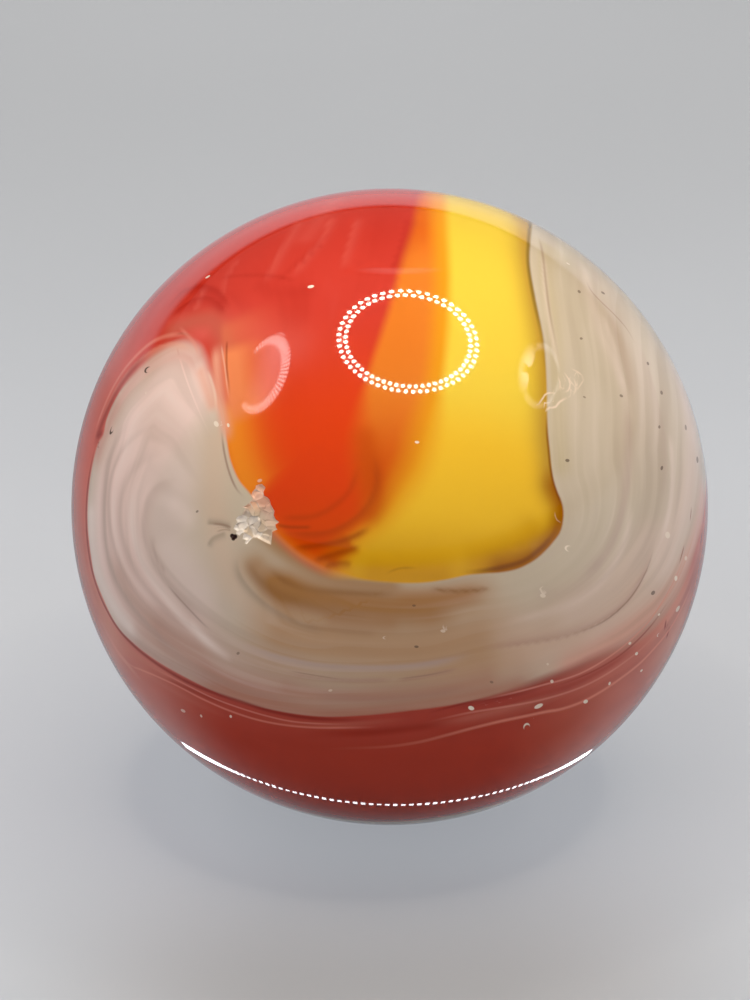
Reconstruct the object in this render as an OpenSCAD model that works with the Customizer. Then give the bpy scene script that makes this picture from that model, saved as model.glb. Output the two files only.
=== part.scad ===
// Glass marble: one fused ball of milky glass, with a band of oxblood glass
// round its waist and a patch of red, orange and yellow glass let into its
// crown. A flaked chip, a pit and two nicks on the flanks are its wear.
//
// Three sets of axes lie in the ball. Each has its origin at the ball's centre,
// x to the right, y up and z out of the glass, and leans towards -Y. The patch
// is laid out on the crown, the band on the waist and the wear on the face.

/* [Ball] */
// Diameter of the ball
ball_d = 16; // [12:0.5:25]

/* [Coloured glass] */
// Depth of the coloured glass below the surface
colour_depth = 0.9; // [0.4:0.1:2]
// Lean of the crown's axis from upright, in degrees
crown_lean = 26; // [10:1:40]
// Lean of the waist's axis from upright, in degrees
waist_lean = 14; // [0:1:30]
// Tilt of the waist to the left, in degrees
waist_tilt = 3.5; // [0:0.5:8]
// Height of the oxblood band's upper edge above the waist
band_top = 0; // [-1:0.1:1]
// Height of the oxblood band's lower edge above the waist
band_bottom = -4.6; // [-6:0.1:-2]
// Width of the pale thread inside the band's upper edge, and its distance
// from that edge
thread_w = 0.2; // [0.1:0.01:0.5]

/* [Wear] */
// Lean of the face's axis from upright, in degrees
face_lean = 62; // [45:1:80]
// Depth of the deepest flake scar in the chip
chip_depth = 0.12; // [0.04:0.01:0.16]
// Radius of the round pit beside the chip
pit_r = 0.08; // [0.04:0.01:0.15]
// Depth of the nick on each flank
nick_depth = 0.04; // [0.02:0.01:0.08]

/* [Hidden] */

$fn = 128;
ball_r = ball_d / 2;
// Colours and wear are laid out on a ball of this radius and scaled to ball_r.
drawn_r = 8;
size_ratio = ball_r / drawn_r;
// Longer than the ball is wide, for cutters that run clear of it.
reach = 2 * ball_r;
// How far neighbouring colours run into each other, so that they weld.
weld = 0.01;
// Points on each span of a spline.
span_steps = 4;

// The patch goes down to this height on the crown's axis, where its edge runs
// out past the ball.
patch_foot = -2;
// Edge of the whole patch, anticlockwise in the crown's x and y.
patch_edge = [
    [-3.6, -4.0], [-2.1, -5.5], [0, -6.1], [2.6, -5.7], [4.1, -4.8],
    [4.3, -3.9], [3.9, -1.4], [3.6, 1.4], [3.6, 5.2], [2.2, 7.0],
    [-0.6, 7.6], [-5.0, 7.4], [-8.6, 4.4], [-9.4, 0], [-8.8, -3.8],
    [-7.5, -3.6], [-7.6, -1.8], [-7.2, -0.2], [-6.2, 0.8], [-5.0, 0.7],
    [-4.1, -0.3], [-4.0, -2.4]
];
// Edges between red and orange, and between orange and yellow, from the foot.
orange_edge = [[-1.6, -8], [-1.1, -5.6], [-0.8, -3.5], [0.2, 1.3], [0.9, 8]];
yellow_edge = [[-2.4, -8], [-0.9, -5.5], [0.5, -3.7], [1.2, -1.0], [1.5, 8]];

// The chip's flake scars in the face's x and y: place, half width, share of
// the chip's depth.
flakes = [
    [[-3.21, 0.46], 0.17, 0.5], [[-3.12, 0.14], 0.29, 0.8],
    [[-3.06, -0.2], 0.36, 1], [[-3.6, -0.36], 0.27, 0.9],
    [[-3.34, -0.58], 0.32, 1], [[-3.02, -0.66], 0.27, 0.7],
    [[-3.55, -0.78], 0.13, 0.5]
];
pit_place = [-3.89, -0.76];
// The two nicks, out on the flanks: place in the face's x and y.
nicks = [[-7.62, -2.42], [7.38, -3.05]];
nick_half_width = 0.22;

// A point on the curve between b and c that also heeds its neighbours a and d
// (a Catmull-Rom spline), at t from 0 to 1.
function between(a, b, c, d, t) =
    0.5 * (2 * b + (c - a) * t + (2 * a - 5 * b + 4 * c - d) * t * t
           + (3 * b - a - 3 * c + d) * t * t * t);

// A smooth closed curve through the points.
function closed_curve(p) = [
    for (i = [0 : len(p) - 1], k = [0 : span_steps - 1])
        between(p[(i + len(p) - 1) % len(p)], p[i], p[(i + 1) % len(p)],
                p[(i + 2) % len(p)], k / span_steps)
];

// A closed anticlockwise curve drawn in by a distance.
function drawn_in(p, by) = [
    for (i = [0 : len(p) - 1])
        let (run = p[(i + 1) % len(p)] - p[(i + len(p) - 1) % len(p)])
            p[i] + by * [-run.y, run.x] / norm(run)
];

// A smooth open curve through the points.
function open_curve(p) = concat([
    for (i = [0 : len(p) - 2], k = [0 : span_steps - 1])
        between(p[max(i - 1, 0)], p[i], p[i + 1],
                p[min(i + 2, len(p) - 1)], k / span_steps)
], [p[len(p) - 1]]);

module on_crown() {
    rotate([crown_lean, 0, 0]) children();
}

module on_waist() {
    rotate([waist_lean, -waist_tilt, 0]) children();
}

module on_face() {
    rotate([face_lean, 0, 0]) children();
}

module ball() {
    sphere(r = ball_r);
}

// The outer skin of the ball that the coloured glass fills. An inset makes it
// thinner from inside.
module skin(inset = 0) {
    difference() {
        ball();
        sphere(r = ball_r - colour_depth + inset);
    }
}

// Everything above a height over the waist.
module above(height) {
    on_waist()
        translate([-reach, -reach, height * size_ratio])
            cube([2 * reach, 2 * reach, reach]);
}

// A prism along the crown's axis over the outline that it is given.
module crown_prism() {
    on_crown()
        translate([0, 0, patch_foot * size_ratio])
            linear_extrude(height = reach)
                scale(size_ratio)
                    children();
}

// Everything to the right of an edge that runs from the foot up.
module right_of(edge, shift = 0) {
    crown_prism()
        polygon(concat([[reach, -reach], [edge[0][0] + shift, -reach]],
                       [for (p = open_curve(edge)) p + [shift, 0]],
                       [[edge[len(edge) - 1][0] + shift, reach],
                        [reach, reach]]));
}

// The whole patch. An inset draws its sides and floor in.
module patch(inset = 0) {
    intersection() {
        skin(inset);
        above(band_top + inset);
        crown_prism()
            polygon(drawn_in(closed_curve(patch_edge), inset));
    }
}

// A band of the skin between two heights. An inset draws its sides and floor
// in.
module band(bottom, top, inset = 0) {
    difference() {
        intersection() {
            skin(inset);
            above(bottom + inset);
        }
        above(top - inset);
    }
}

module red_glass() {
    color("#D8402C")
        difference() {
            patch();
            right_of(orange_edge, weld);
        }
}

module orange_glass() {
    color("#F0862A")
        difference() {
            intersection() {
                patch();
                right_of(orange_edge);
            }
            right_of(yellow_edge, weld);
        }
}

module yellow_glass() {
    color("#FAD046")
        intersection() {
            patch();
            right_of(yellow_edge);
        }
}

module oxblood_glass() {
    color("#86302A") {
        band(band_top - thread_w, band_top);
        band(band_bottom, band_top - 2 * thread_w);
    }
}

module pale_thread() {
    color("#D9A79A")
        band(band_top - 2 * thread_w - weld, band_top - thread_w + weld);
}

module milky_glass() {
    color("#CDBBA8")
        difference() {
            ball();
            band(band_bottom, band_top, weld);
            patch(weld);
        }
}

// A shallow hollow, as a flake leaves: at a place in the face's x and y, with
// the half width and depth that it has in the surface.
module scoop(place, half_width, depth) {
    out = [place.x, place.y, sqrt(pow(drawn_r, 2) - pow(norm(place), 2))]
        / drawn_r;
    scoop_r = 1 / (2 * depth / pow(half_width, 2) - 1 / drawn_r);
    scale(size_ratio)
        translate((drawn_r - depth + scoop_r) * out)
            sphere(r = scoop_r, $fn = 48);
}

module chip() {
    color("#EFE3D2")
        for (f = flakes)
            scoop(f[0], f[1], f[2] * chip_depth);
}

module pit() {
    color("#3A1C10") scoop(pit_place, pit_r, pit_r);
}

module flank_nicks() {
    color("#B98F86")
        for (place = nicks)
            scoop(place, nick_half_width, nick_depth);
}

module wear() {
    on_face() {
        chip();
        pit();
        flank_nicks();
    }
}

module marble() {
    difference() {
        union() {
            milky_glass();
            oxblood_glass();
            pale_thread();
            red_glass();
            orange_glass();
            yellow_glass();
        }
        wear();
    }
}

marble();
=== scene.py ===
"""A machine-made glass marble: a milky ball swirled with oxblood at its waist, and a crown of red, orange
and yellow glass. A flaked chip sits where the crown's colours meet the milky glass."""

import math

import bpy
import numpy as np
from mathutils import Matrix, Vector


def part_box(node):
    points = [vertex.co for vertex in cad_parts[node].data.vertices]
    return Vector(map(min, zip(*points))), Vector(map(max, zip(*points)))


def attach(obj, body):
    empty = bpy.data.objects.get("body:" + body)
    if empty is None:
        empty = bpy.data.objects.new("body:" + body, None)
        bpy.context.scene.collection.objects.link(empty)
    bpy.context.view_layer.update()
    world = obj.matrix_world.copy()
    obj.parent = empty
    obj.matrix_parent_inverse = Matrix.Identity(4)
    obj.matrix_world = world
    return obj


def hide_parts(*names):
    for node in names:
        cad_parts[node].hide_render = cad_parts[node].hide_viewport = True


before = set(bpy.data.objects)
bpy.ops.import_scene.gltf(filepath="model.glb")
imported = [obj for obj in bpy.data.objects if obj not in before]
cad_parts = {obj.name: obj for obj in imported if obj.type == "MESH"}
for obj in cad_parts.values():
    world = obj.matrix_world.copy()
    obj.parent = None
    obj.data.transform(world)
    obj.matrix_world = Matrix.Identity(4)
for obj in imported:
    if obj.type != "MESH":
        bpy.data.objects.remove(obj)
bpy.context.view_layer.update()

# ---------------------------------------------------------------------------------------------------------
# The ball and its three sets of axes, each leaned towards the viewer: the colours are laid out on the
# crown, the oxblood band on the waist and the wear on the face. Lengths on the ball are in millimetres.
# "Crown degrees" are degrees of arc to the right of the crown's middle (x) and away from the viewer (y).
# ---------------------------------------------------------------------------------------------------------
MM = 0.001
low_corner, high_corner = (np.array(corner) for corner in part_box("marble"))
BALL_R = min(high_corner.min(), -low_corner.max()) / MM
DEGREE = math.radians(BALL_R)  # length of one degree of arc on the ball
CROWN_LEAN = 26.0
WAIST_LEAN, WAIST_TILT = 14.0, 3.5
FACE_LEAN = 62.0
TINY = 1e-6  # mm, the least length that anything is divided by


def leaned(lean, tilt=0.0):
    """Rows are the right, up and out directions of axes leaned to the viewer, then tilted to the left."""
    c, s = math.cos(math.radians(lean)), math.sin(math.radians(lean))
    ct, st = math.cos(math.radians(tilt)), math.sin(math.radians(tilt))
    lean_turn = np.array([[1, 0, 0], [0, c, -s], [0, s, c]])
    tilt_turn = np.array([[ct, 0, -st], [0, 1, 0], [st, 0, ct]])
    return (tilt_turn @ lean_turn).T


CROWN, WAIST, FACE = leaned(CROWN_LEAN), leaned(WAIST_LEAN, WAIST_TILT), leaned(FACE_LEAN)


def unit(vectors):
    """Vectors scaled to a length of one."""
    return vectors / np.linalg.norm(vectors, axis=-1, keepdims=True)


def bearings(count):
    """Evenly spread angles once round, in radians."""
    return np.arange(count) * 2 * math.pi / count


def on_crown(points):
    """Directions of places in crown degrees: an arc of hypot(x, y) from the crown's middle, at the bearing
    of (x, y)."""
    x, y = np.asarray(points, float).T
    arc, bearing = np.radians(np.hypot(x, y)), np.arctan2(y, x)
    across = np.stack([np.cos(bearing), np.sin(bearing)], -1) * np.sin(arc)[..., None]
    return across @ CROWN[:2] + np.cos(arc)[..., None] * CROWN[2]


def on_face(points):
    """Directions of places in millimetres on the face, as seen flat on."""
    x, y = np.asarray(points, float).T
    out = np.sqrt(BALL_R**2 - x**2 - y**2)
    return unit(np.stack([x, y, out], -1) @ FACE)


# ---------------------------------------------------------------------------------------------------------
# Where the colours meet, in crown degrees.
# ---------------------------------------------------------------------------------------------------------
# The milky glass is a ribbon. Both its edges start at the seam under the chip. The inner one runs right
# along the patch's foot, up its right side and over the top, and the outer one up the patch's left side,
# round the lobe, down and along the waist. They meet again at its rounded end behind.
PATCH_SIDE = [
    (-24.8, -36.5), (-22.5, -40), (-18, -44.4), (-13.2, -47.4), (-8.3, -48.6), (-1.9, -49.5), (5.7, -49.6),
    (11, -48.8), (15.6, -47.6), (19.4, -46.9), (22.8, -46.3), (26.4, -45.1), (29.7, -43), (31.8, -40.9),
    (33.4, -38.8), (34.7, -36.6), (35, -34.3), (34.8, -32.4), (34.1, -30.8), (33, -29.3), (32, -27.4),
    (31.3, -25), (30.7, -22), (30.1, -19), (29.7, -15), (29.3, -8), (28.6, 0), (27.1, 10), (26.4, 20),
    (27.5, 30.7), (29.3, 43), (30, 50), (28.5, 57), (25, 63.5), (18, 69), (8, 73), (-4, 76), (-16, 79.5),
    (-27, 85.5), (-33.5, 90), (-36.3, 93), (-37, 96)]
RIM_SIDE = [
    (-24.8, -36.5), (-25.6, -33.6), (-27.2, -31), (-29.3, -28), (-30.7, -24), (-31.2, -20), (-31.6, -14),
    (-33.4, -8), (-34.6, -4), (-35.4, -0.6), (-36.9, 2.5), (-40.6, 5.6), (-46.9, 6.6), (-51.3, 5.9),
    (-56.3, 4.7), (-60, 2.5), (-62.5, 0), (-63.8, -2.8), (-66.3, -3.8), (-70, -8.8), (-73.8, -16.9),
    (-75.9, -24.4), (-76.9, -30), (-75.9, -35.6), (-73.1, -44.4), (-68.1, -50.6), (-61.9, -56.3),
    (-51.3, -63.8), (-40, -70.3), (-30, -73.8), (-17.5, -76.3), (-6, -76.4), (6, -75.2), (19.2, -72.9),
    (28, -70.4), (35, -67.9), (41, -65.2), (46, -62.8), (51, -60), (55.5, -57.2), (60, -54.2), (65, -49.8),
    (69.5, -45.4), (73.4, -39.6), (76.6, -33), (79.2, -25), (81.4, -15), (83, -4), (84.5, 8), (86, 18),
    (87.5, 30), (87, 45), (84, 60), (77, 73), (65, 85), (50, 94), (32, 100), (14, 103), (-5, 103.5),
    (-21, 102.5), (-31.5, 101), (-36, 98.8), (-37, 96)]
# Red meets orange, and orange meets yellow, from the back of the top to the foot.
RED_EDGE = [
    (9, 78), (8.4, 66), (7.4, 56), (6.2, 46), (5.4, 40), (5, 35), (3.9, 25), (2.1, 15), (0.3, 5),
    (-1.7, -3), (-4.2, -12), (-5.6, -20), (-6.1, -26), (-5.8, -31), (-4.7, -35), (-4.6, -37.6), (-6.4, -39.6),
    (-9, -41.4), (-13, -44.4), (-17, -48), (-22, -52)]
YELLOW_EDGE = [
    (10, 80), (11.6, 68), (11.6, 58), (11, 50), (10.6, 40), (10.4, 25), (10.4, 7), (10, -3),
    (9.2, -12), (8, -21), (6.4, -28), (4, -33), (1.4, -36.7), (-1.8, -39.4), (-6, -42.4), (-8.6, -45.2),
    (-9, -48.6), (-10, -58)]


SPAN_STEPS = 12  # points on each span of a smooth line
AT_ONCE = 8000  # places compared with a line at a time


def smooth_line(directions):
    """A smooth open curve over the ball through directions, made of Catmull-Rom spans."""
    ends = 2 * directions[[0, -1]] - directions[[1, -2]]
    p = np.vstack([ends[:1], directions, ends[1:]])
    a, b, c, d = (p[i : len(p) - 3 + i, None] for i in range(4))
    t = np.linspace(0, 1, SPAN_STEPS, endpoint=False)[None, :, None]
    spans = 2 * b + (c - a) * t + (2 * a - 5 * b + 4 * c - d) * t**2 + (3 * b - a - 3 * c + d) * t**3
    return unit(np.vstack([spans.reshape(-1, 3), 2 * directions[-1:]]))


def from_line(places, line, reach=math.pi * BALL_R):
    """Distance in millimetres of each place from a line, positive on the left of its way, and how far along
    the line its nearest point is, from 0 to 1. The gap is measured to the nearest point of the line, less
    what lies along the line's own direction there. Places outside the round cap that holds the line and
    reach round it count as far away."""
    way = unit(np.gradient(line, axis=0))
    left = np.cross(line, way)
    run = np.concatenate([[0], np.cumsum(np.linalg.norm(np.diff(line, axis=0), axis=1))])
    spacing = np.gradient(run)
    middle = unit(line.mean(0))
    cap = min(np.arccos(np.clip(line @ middle, -1, 1)).max() + reach / BALL_R, math.pi)
    inside = np.flatnonzero(places @ middle >= math.cos(cap))
    distance, along = np.full(len(places), math.pi * BALL_R), np.zeros(len(places))
    for part in np.array_split(inside, 1 + len(inside) // AT_ONCE):
        near = (places[part] @ line.T).argmax(1)
        gap = places[part] - line[near]
        forward = np.clip((gap * way[near]).sum(1), -spacing[near] / 2, spacing[near] / 2)
        size = np.sqrt(np.maximum((gap**2).sum(1) - forward**2, 0))
        side = np.where((gap * left[near]).sum(1) < 0, -1, 1)
        distance[part] = size * side * BALL_R
        along[part] = (run[near] + forward) / run[-1]
    return distance, along


def eased(x, low, high):
    """0 below low, 1 above high and a smooth step between."""
    t = np.clip((x - low) / (high - low), 0, 1)
    return t * t * (3 - 2 * t)


# ---------------------------------------------------------------------------------------------------------
# Wear, in millimetres on the face. The chip's hollows: place, half width and depth.
# ---------------------------------------------------------------------------------------------------------
CHIP_DEPTH = 0.12
CHIP_HOLLOWS = [
    ((-3.21, 0.46), 0.17, 0.5 * CHIP_DEPTH), ((-3.12, 0.14), 0.29, 0.8 * CHIP_DEPTH),
    ((-3.06, -0.2), 0.36, CHIP_DEPTH), ((-3.6, -0.36), 0.27, 0.9 * CHIP_DEPTH),
    ((-3.34, -0.58), 0.32, CHIP_DEPTH), ((-3.02, -0.66), 0.27, 0.7 * CHIP_DEPTH),
    ((-3.55, -0.78), 0.13, 0.5 * CHIP_DEPTH)]
CHIP_OUTLINE = [
    (-3.18, 0.57), (-3.09, 0.48), (-3.14, 0.38), (-3.13, 0.28), (-3.05, 0.24), (-2.99, 0.18), (-2.96, 0.06),
    (-2.87, -0.1), (-2.89, -0.21), (-2.84, -0.31), (-2.75, -0.38), (-2.84, -0.44), (-2.83, -0.52),
    (-2.79, -0.56), (-2.92, -0.62), (-2.94, -0.82), (-2.95, -0.95), (-3.06, -0.9), (-3.21, -0.82),
    (-3.31, -0.76), (-3.39, -0.76), (-3.49, -0.85), (-3.55, -0.93), (-3.61, -0.91), (-3.58, -0.82),
    (-3.66, -0.8), (-3.65, -0.71), (-3.6, -0.63), (-3.67, -0.65), (-3.74, -0.72), (-3.83, -0.66),
    (-3.81, -0.6), (-3.89, -0.54), (-3.84, -0.44), (-3.79, -0.38), (-3.83, -0.31), (-3.78, -0.23),
    (-3.69, -0.22), (-3.65, -0.13), (-3.59, -0.04), (-3.67, 0), (-3.59, 0.03), (-3.51, 0.08), (-3.4, 0.21),
    (-3.45, 0.28), (-3.42, 0.37), (-3.34, 0.46), (-3.33, 0.53), (-3.26, 0.56)]
# The flakes' middles, and how pale each is from 0 to 1.
FLAKES = [
    ((-3.23, 0.47), 0.5), ((-3.31, 0.32), 0.5), ((-3.16, 0.1), 0.4), ((-3.03, -0.03), 0.4),
    ((-3.13, -0.21), 0.35), ((-2.98, -0.26), 0.4), ((-2.96, -0.43), 0.35), ((-3.06, -0.66), 0.2),
    ((-3.38, -0.01), 0.1), ((-3.51, -0.06), 0.3), ((-3.61, -0.13), 0.45), ((-3.73, -0.33), 0.85),
    ((-3.66, -0.46), 0.8), ((-3.85, -0.53), 1.0), ((-3.76, -0.63), 0.8), ((-3.56, -0.38), 0.6),
    ((-3.46, -0.37), 0.7), ((-3.36, -0.48), 0.55), ((-3.41, -0.61), 0.65), ((-3.28, -0.71), 0.75),
    ((-3.13, -0.81), 0.5), ((-3.58, -0.75), 1.0), ((-3.51, -0.65), 0.3), ((-3.55, -0.86), 0.9),
    ((-3.21, -0.51), 0.3), ((-3.01, -0.83), 0.45)]
FLAKE_DEPTH = 0.03  # depth of a flake's middle below the hollows
FLAKE_TILT = 0.2  # slope of a flake's face
FLAKE_TURN = 2.4  # radians from the way one flake tilts to the next one's
FLAKE_WANDER = 0.028  # how far the edges between flakes wander
HOLLOW_SHARE = 0.6  # how much of the hollows' depth is left under the flakes
CHIP_MIDDLE = (-3.3, -0.2)
PIT_HOLLOWS = [((-3.92, -0.72), 0.055, 0.055), ((-3.85, -0.74), 0.06, 0.06), ((-3.89, -0.79), 0.05, 0.05)]
NICKS = [((-7.62, -2.42), 0.22, 0.04), ((7.38, -3.05), 0.22, 0.04)]


def hollow(places, middle, half_width, depth):
    """Depth at each place of a shallow round hollow. Its floor is part of a ball that cuts the surface
    half_width from its middle and goes depth below it."""
    floor_r = 1 / (2 * depth / half_width**2 - 1 / BALL_R)
    away = BALL_R - depth + floor_r
    cosine = places @ on_face(middle)
    inside = floor_r**2 - away**2 * (1 - cosine**2)
    reach = away * cosine - np.sqrt(np.maximum(inside, 0))
    return np.where((inside > 0) & (cosine > 0), np.maximum(BALL_R - reach, 0), 0)


def inside_outline(points, outline):
    """Distance of flat points from a closed outline of straight sides, positive inside it."""
    start, end = np.array(outline), np.roll(outline, -1, axis=0)
    gap, within = np.full(len(points), np.inf), np.zeros(len(points), bool)
    for a, b in zip(start, end):
        run, off = b - a, points - a
        share = np.clip(off @ run / (run @ run), 0, 1)
        gap = np.minimum(gap, np.linalg.norm(off - share[:, None] * run, axis=1))
        crossed = (a[1] > points[:, 1]) != (b[1] > points[:, 1])
        rise = run[1] if run[1] else 1.0
        within ^= crossed & (off[:, 0] < off[:, 1] * run[0] / rise)
    return np.where(within, gap, -gap)


def flaked(places, outer):
    """The chip's finer relief and paleness: the outline is split among the flakes by which middle is
    nearest, after a small wander of sines in sines, and each flake is a flat that tilts its own way.
    Returns depth, paleness and the distance in from the nearest edge between flakes."""
    points = places @ FACE[:2].T * BALL_R
    points = points + FLAKE_WANDER * np.sin(9 * points[:, ::-1] + 1.5 * np.sin(15 * points))
    middles = np.array([middle for middle, _ in FLAKES])
    paleness = np.array([pale for _, pale in FLAKES])
    turn = FLAKE_TURN * np.arange(len(FLAKES))
    gaps = np.linalg.norm(points[:, None] - middles, axis=2)
    order = np.argsort(gaps, axis=1)[:, :2]
    rows = np.arange(len(points))
    first, second = order[:, 0], order[:, 1]
    off = points - middles[first]
    rise = off[:, 0] * np.cos(turn[first]) + off[:, 1] * np.sin(turn[first])
    edge = (gaps[rows, second] ** 2 - gaps[rows, first] ** 2) / 2
    edge = edge / np.maximum(np.linalg.norm(middles[second] - middles[first], axis=1), TINY)
    depth = (FLAKE_DEPTH + FLAKE_TILT * rise) * eased(outer, 0, 0.05)
    return depth, paleness[first], edge


# ---------------------------------------------------------------------------------------------------------
# The ball's surface: a grid of rings round the chip, close together there and wider apart behind.
# ---------------------------------------------------------------------------------------------------------
BEARINGS = 376
ARC_STEPS = 4000  # steps in which the gaps between rings are added up
RING_GAPS = [(0, 0.018), (0.95, 0.018), (2.4, 0.09), (13, 0.095), (20, 0.2), (26, 0.2)]  # arc from chip, gap


def ring_arcs():
    """Arcs of the rings from the chip's middle in millimetres: each gap follows RING_GAPS, and the count is
    rounded so that the last ring is one gap short of the far side."""
    far = math.pi * BALL_R
    arc = np.linspace(0, far, ARC_STEPS)
    gap = np.interp(arc, *zip(*RING_GAPS))
    count = np.concatenate([[0], np.cumsum(np.diff(arc) / ((gap[1:] + gap[:-1]) / 2))])
    rings = int(round(count[-1]))
    return np.interp(np.arange(1, rings) * count[-1] / rings, count, arc)


def ball_places():
    """Unit directions of the grid: arc a from the chip's middle at bearing b is cos(a) of the way out plus
    sin(a) of the way across. The first and last are the chip's middle and the place opposite."""
    out = on_face([CHIP_MIDDLE])[0]
    right = unit(np.cross(FACE[1], out))
    up = np.cross(out, right)
    arc = ring_arcs()[:, None] / BALL_R
    bearing = bearings(BEARINGS)[None, :]
    around = np.cos(bearing)[..., None] * right + np.sin(bearing)[..., None] * up
    grid = np.cos(arc)[..., None] * out + np.sin(arc)[..., None] * around
    return np.vstack([out[None], grid.reshape(-1, 3), -out[None]])


def next_round(count):
    """The places round a ring by number, and the one after each."""
    here = np.arange(count)
    return here, (here + 1) % count


def ring_faces(rings, count, first):
    """Four-sided faces between neighbouring rings of count vertices, the first ring starting at first."""
    ring = np.arange(rings - 1)[:, None] * count + first
    here, after = next_round(count)
    return np.stack([ring + here, ring + count + here, ring + count + after, ring + after], -1).reshape(-1, 4)


def ball_faces(rings):
    """Four-sided faces between neighbouring rings, and a fan of triangles that closes each end."""
    here, after = next_round(BEARINGS)
    last = (rings - 1) * BEARINGS + 1
    near = np.stack([np.zeros_like(here), here + 1, after + 1], -1)
    far = np.stack([np.full_like(here, last + BEARINGS), last + after, last + here], -1)
    return ring_faces(rings, BEARINGS, 1), np.vstack([near, far])


def worn(places):
    """Depth of the wear below the ball at each place: the deepest of the hollows, with those of the chip
    and its flakes only inside its outline."""
    outer = chip_distance(places)
    chip, wear = (np.max([hollow(places, *row) for row in rows], axis=0)
                  for rows in (CHIP_HOLLOWS, PIT_HOLLOWS + NICKS))
    chip = np.maximum(chip * HOLLOW_SHARE + flaked(places, outer)[0], 0) * eased(outer, -0.01, 0.04)
    return np.maximum(wear, chip)


def chip_distance(places):
    """Distance in from the chip's outline, in millimetres."""
    points = places @ FACE[:2].T * BALL_R
    return np.where(places @ FACE[2] > 0, inside_outline(points, CHIP_OUTLINE), -BALL_R)


def mesh_of(name, vertices, quads, triangles):
    """A mesh of four-sided and three-sided faces, smooth shaded."""
    mesh = bpy.data.meshes.new(name)
    corners = np.concatenate([quads.ravel(), triangles.ravel()])
    sizes = np.repeat([4, 3], [len(quads), len(triangles)])
    mesh.vertices.add(len(vertices))
    mesh.vertices.foreach_set("co", vertices.ravel())
    mesh.loops.add(len(corners))
    mesh.loops.foreach_set("vertex_index", corners)
    mesh.polygons.add(len(sizes))
    mesh.polygons.foreach_set("loop_start", np.cumsum(sizes) - sizes)
    mesh.polygons.foreach_set("use_smooth", np.ones(len(sizes), bool))
    mesh.update(calc_edges=True)
    mesh.validate()
    return mesh


def keep(mesh, name, values):
    """Stores one number or one vector for each vertex under a name that the material reads."""
    vector = values.ndim == 2
    layer = mesh.attributes.new(name, "FLOAT_VECTOR" if vector else "FLOAT", "POINT")
    layer.data.foreach_set("vector" if vector else "value", values.ravel().astype(np.float32))


# ---------------------------------------------------------------------------------------------------------
# Soft strokes in the glass, in crown degrees, under the colour that each set is drawn in. A stroke is its
# points, its half width in degrees (or one for the left of its way and one for the right) and its strength.
# Later sets lie over earlier ones. A wide stroke with the same half width on both sides ends round, and any
# other fades towards its ends.
# ---------------------------------------------------------------------------------------------------------
OUTER_ARC = [(-54, -5.5), (-58, -7.6), (-60.7, -9.8), (-62.8, -13), (-64.6, -17), (-66.3, -22), (-67.5, -27),
             (-67.6, -32), (-66.5, -37), (-63.5, -43), (-59, -49.5), (-53.5, -56), (-47, -62)]
MIDDLE_ARC = [(-43.5, -13.2), (-47, -11), (-51, -10.4), (-56, -10.9), (-60, -13.2), (-62.8, -17.2),
              (-64.2, -22), (-64.6, -27), (-63.6, -34), (-60, -42), (-54, -49.5), (-47, -57)]
THIRD_ARC = [(-44.5, -17.2), (-51, -16.6), (-56, -18), (-59.4, -21.6), (-60.9, -27), (-60.4, -32),
             (-58.4, -38), (-55, -44), (-50, -50.5), (-44.5, -57)]
INNER_ARC = [(-42.5, -24.2), (-48, -23.4), (-51.8, -25.4), (-53.9, -30), (-53.5, -35), (-51.6, -40),
             (-48.9, -44.6), (-45.8, -49.4), (-41.5, -54.8)]
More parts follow.
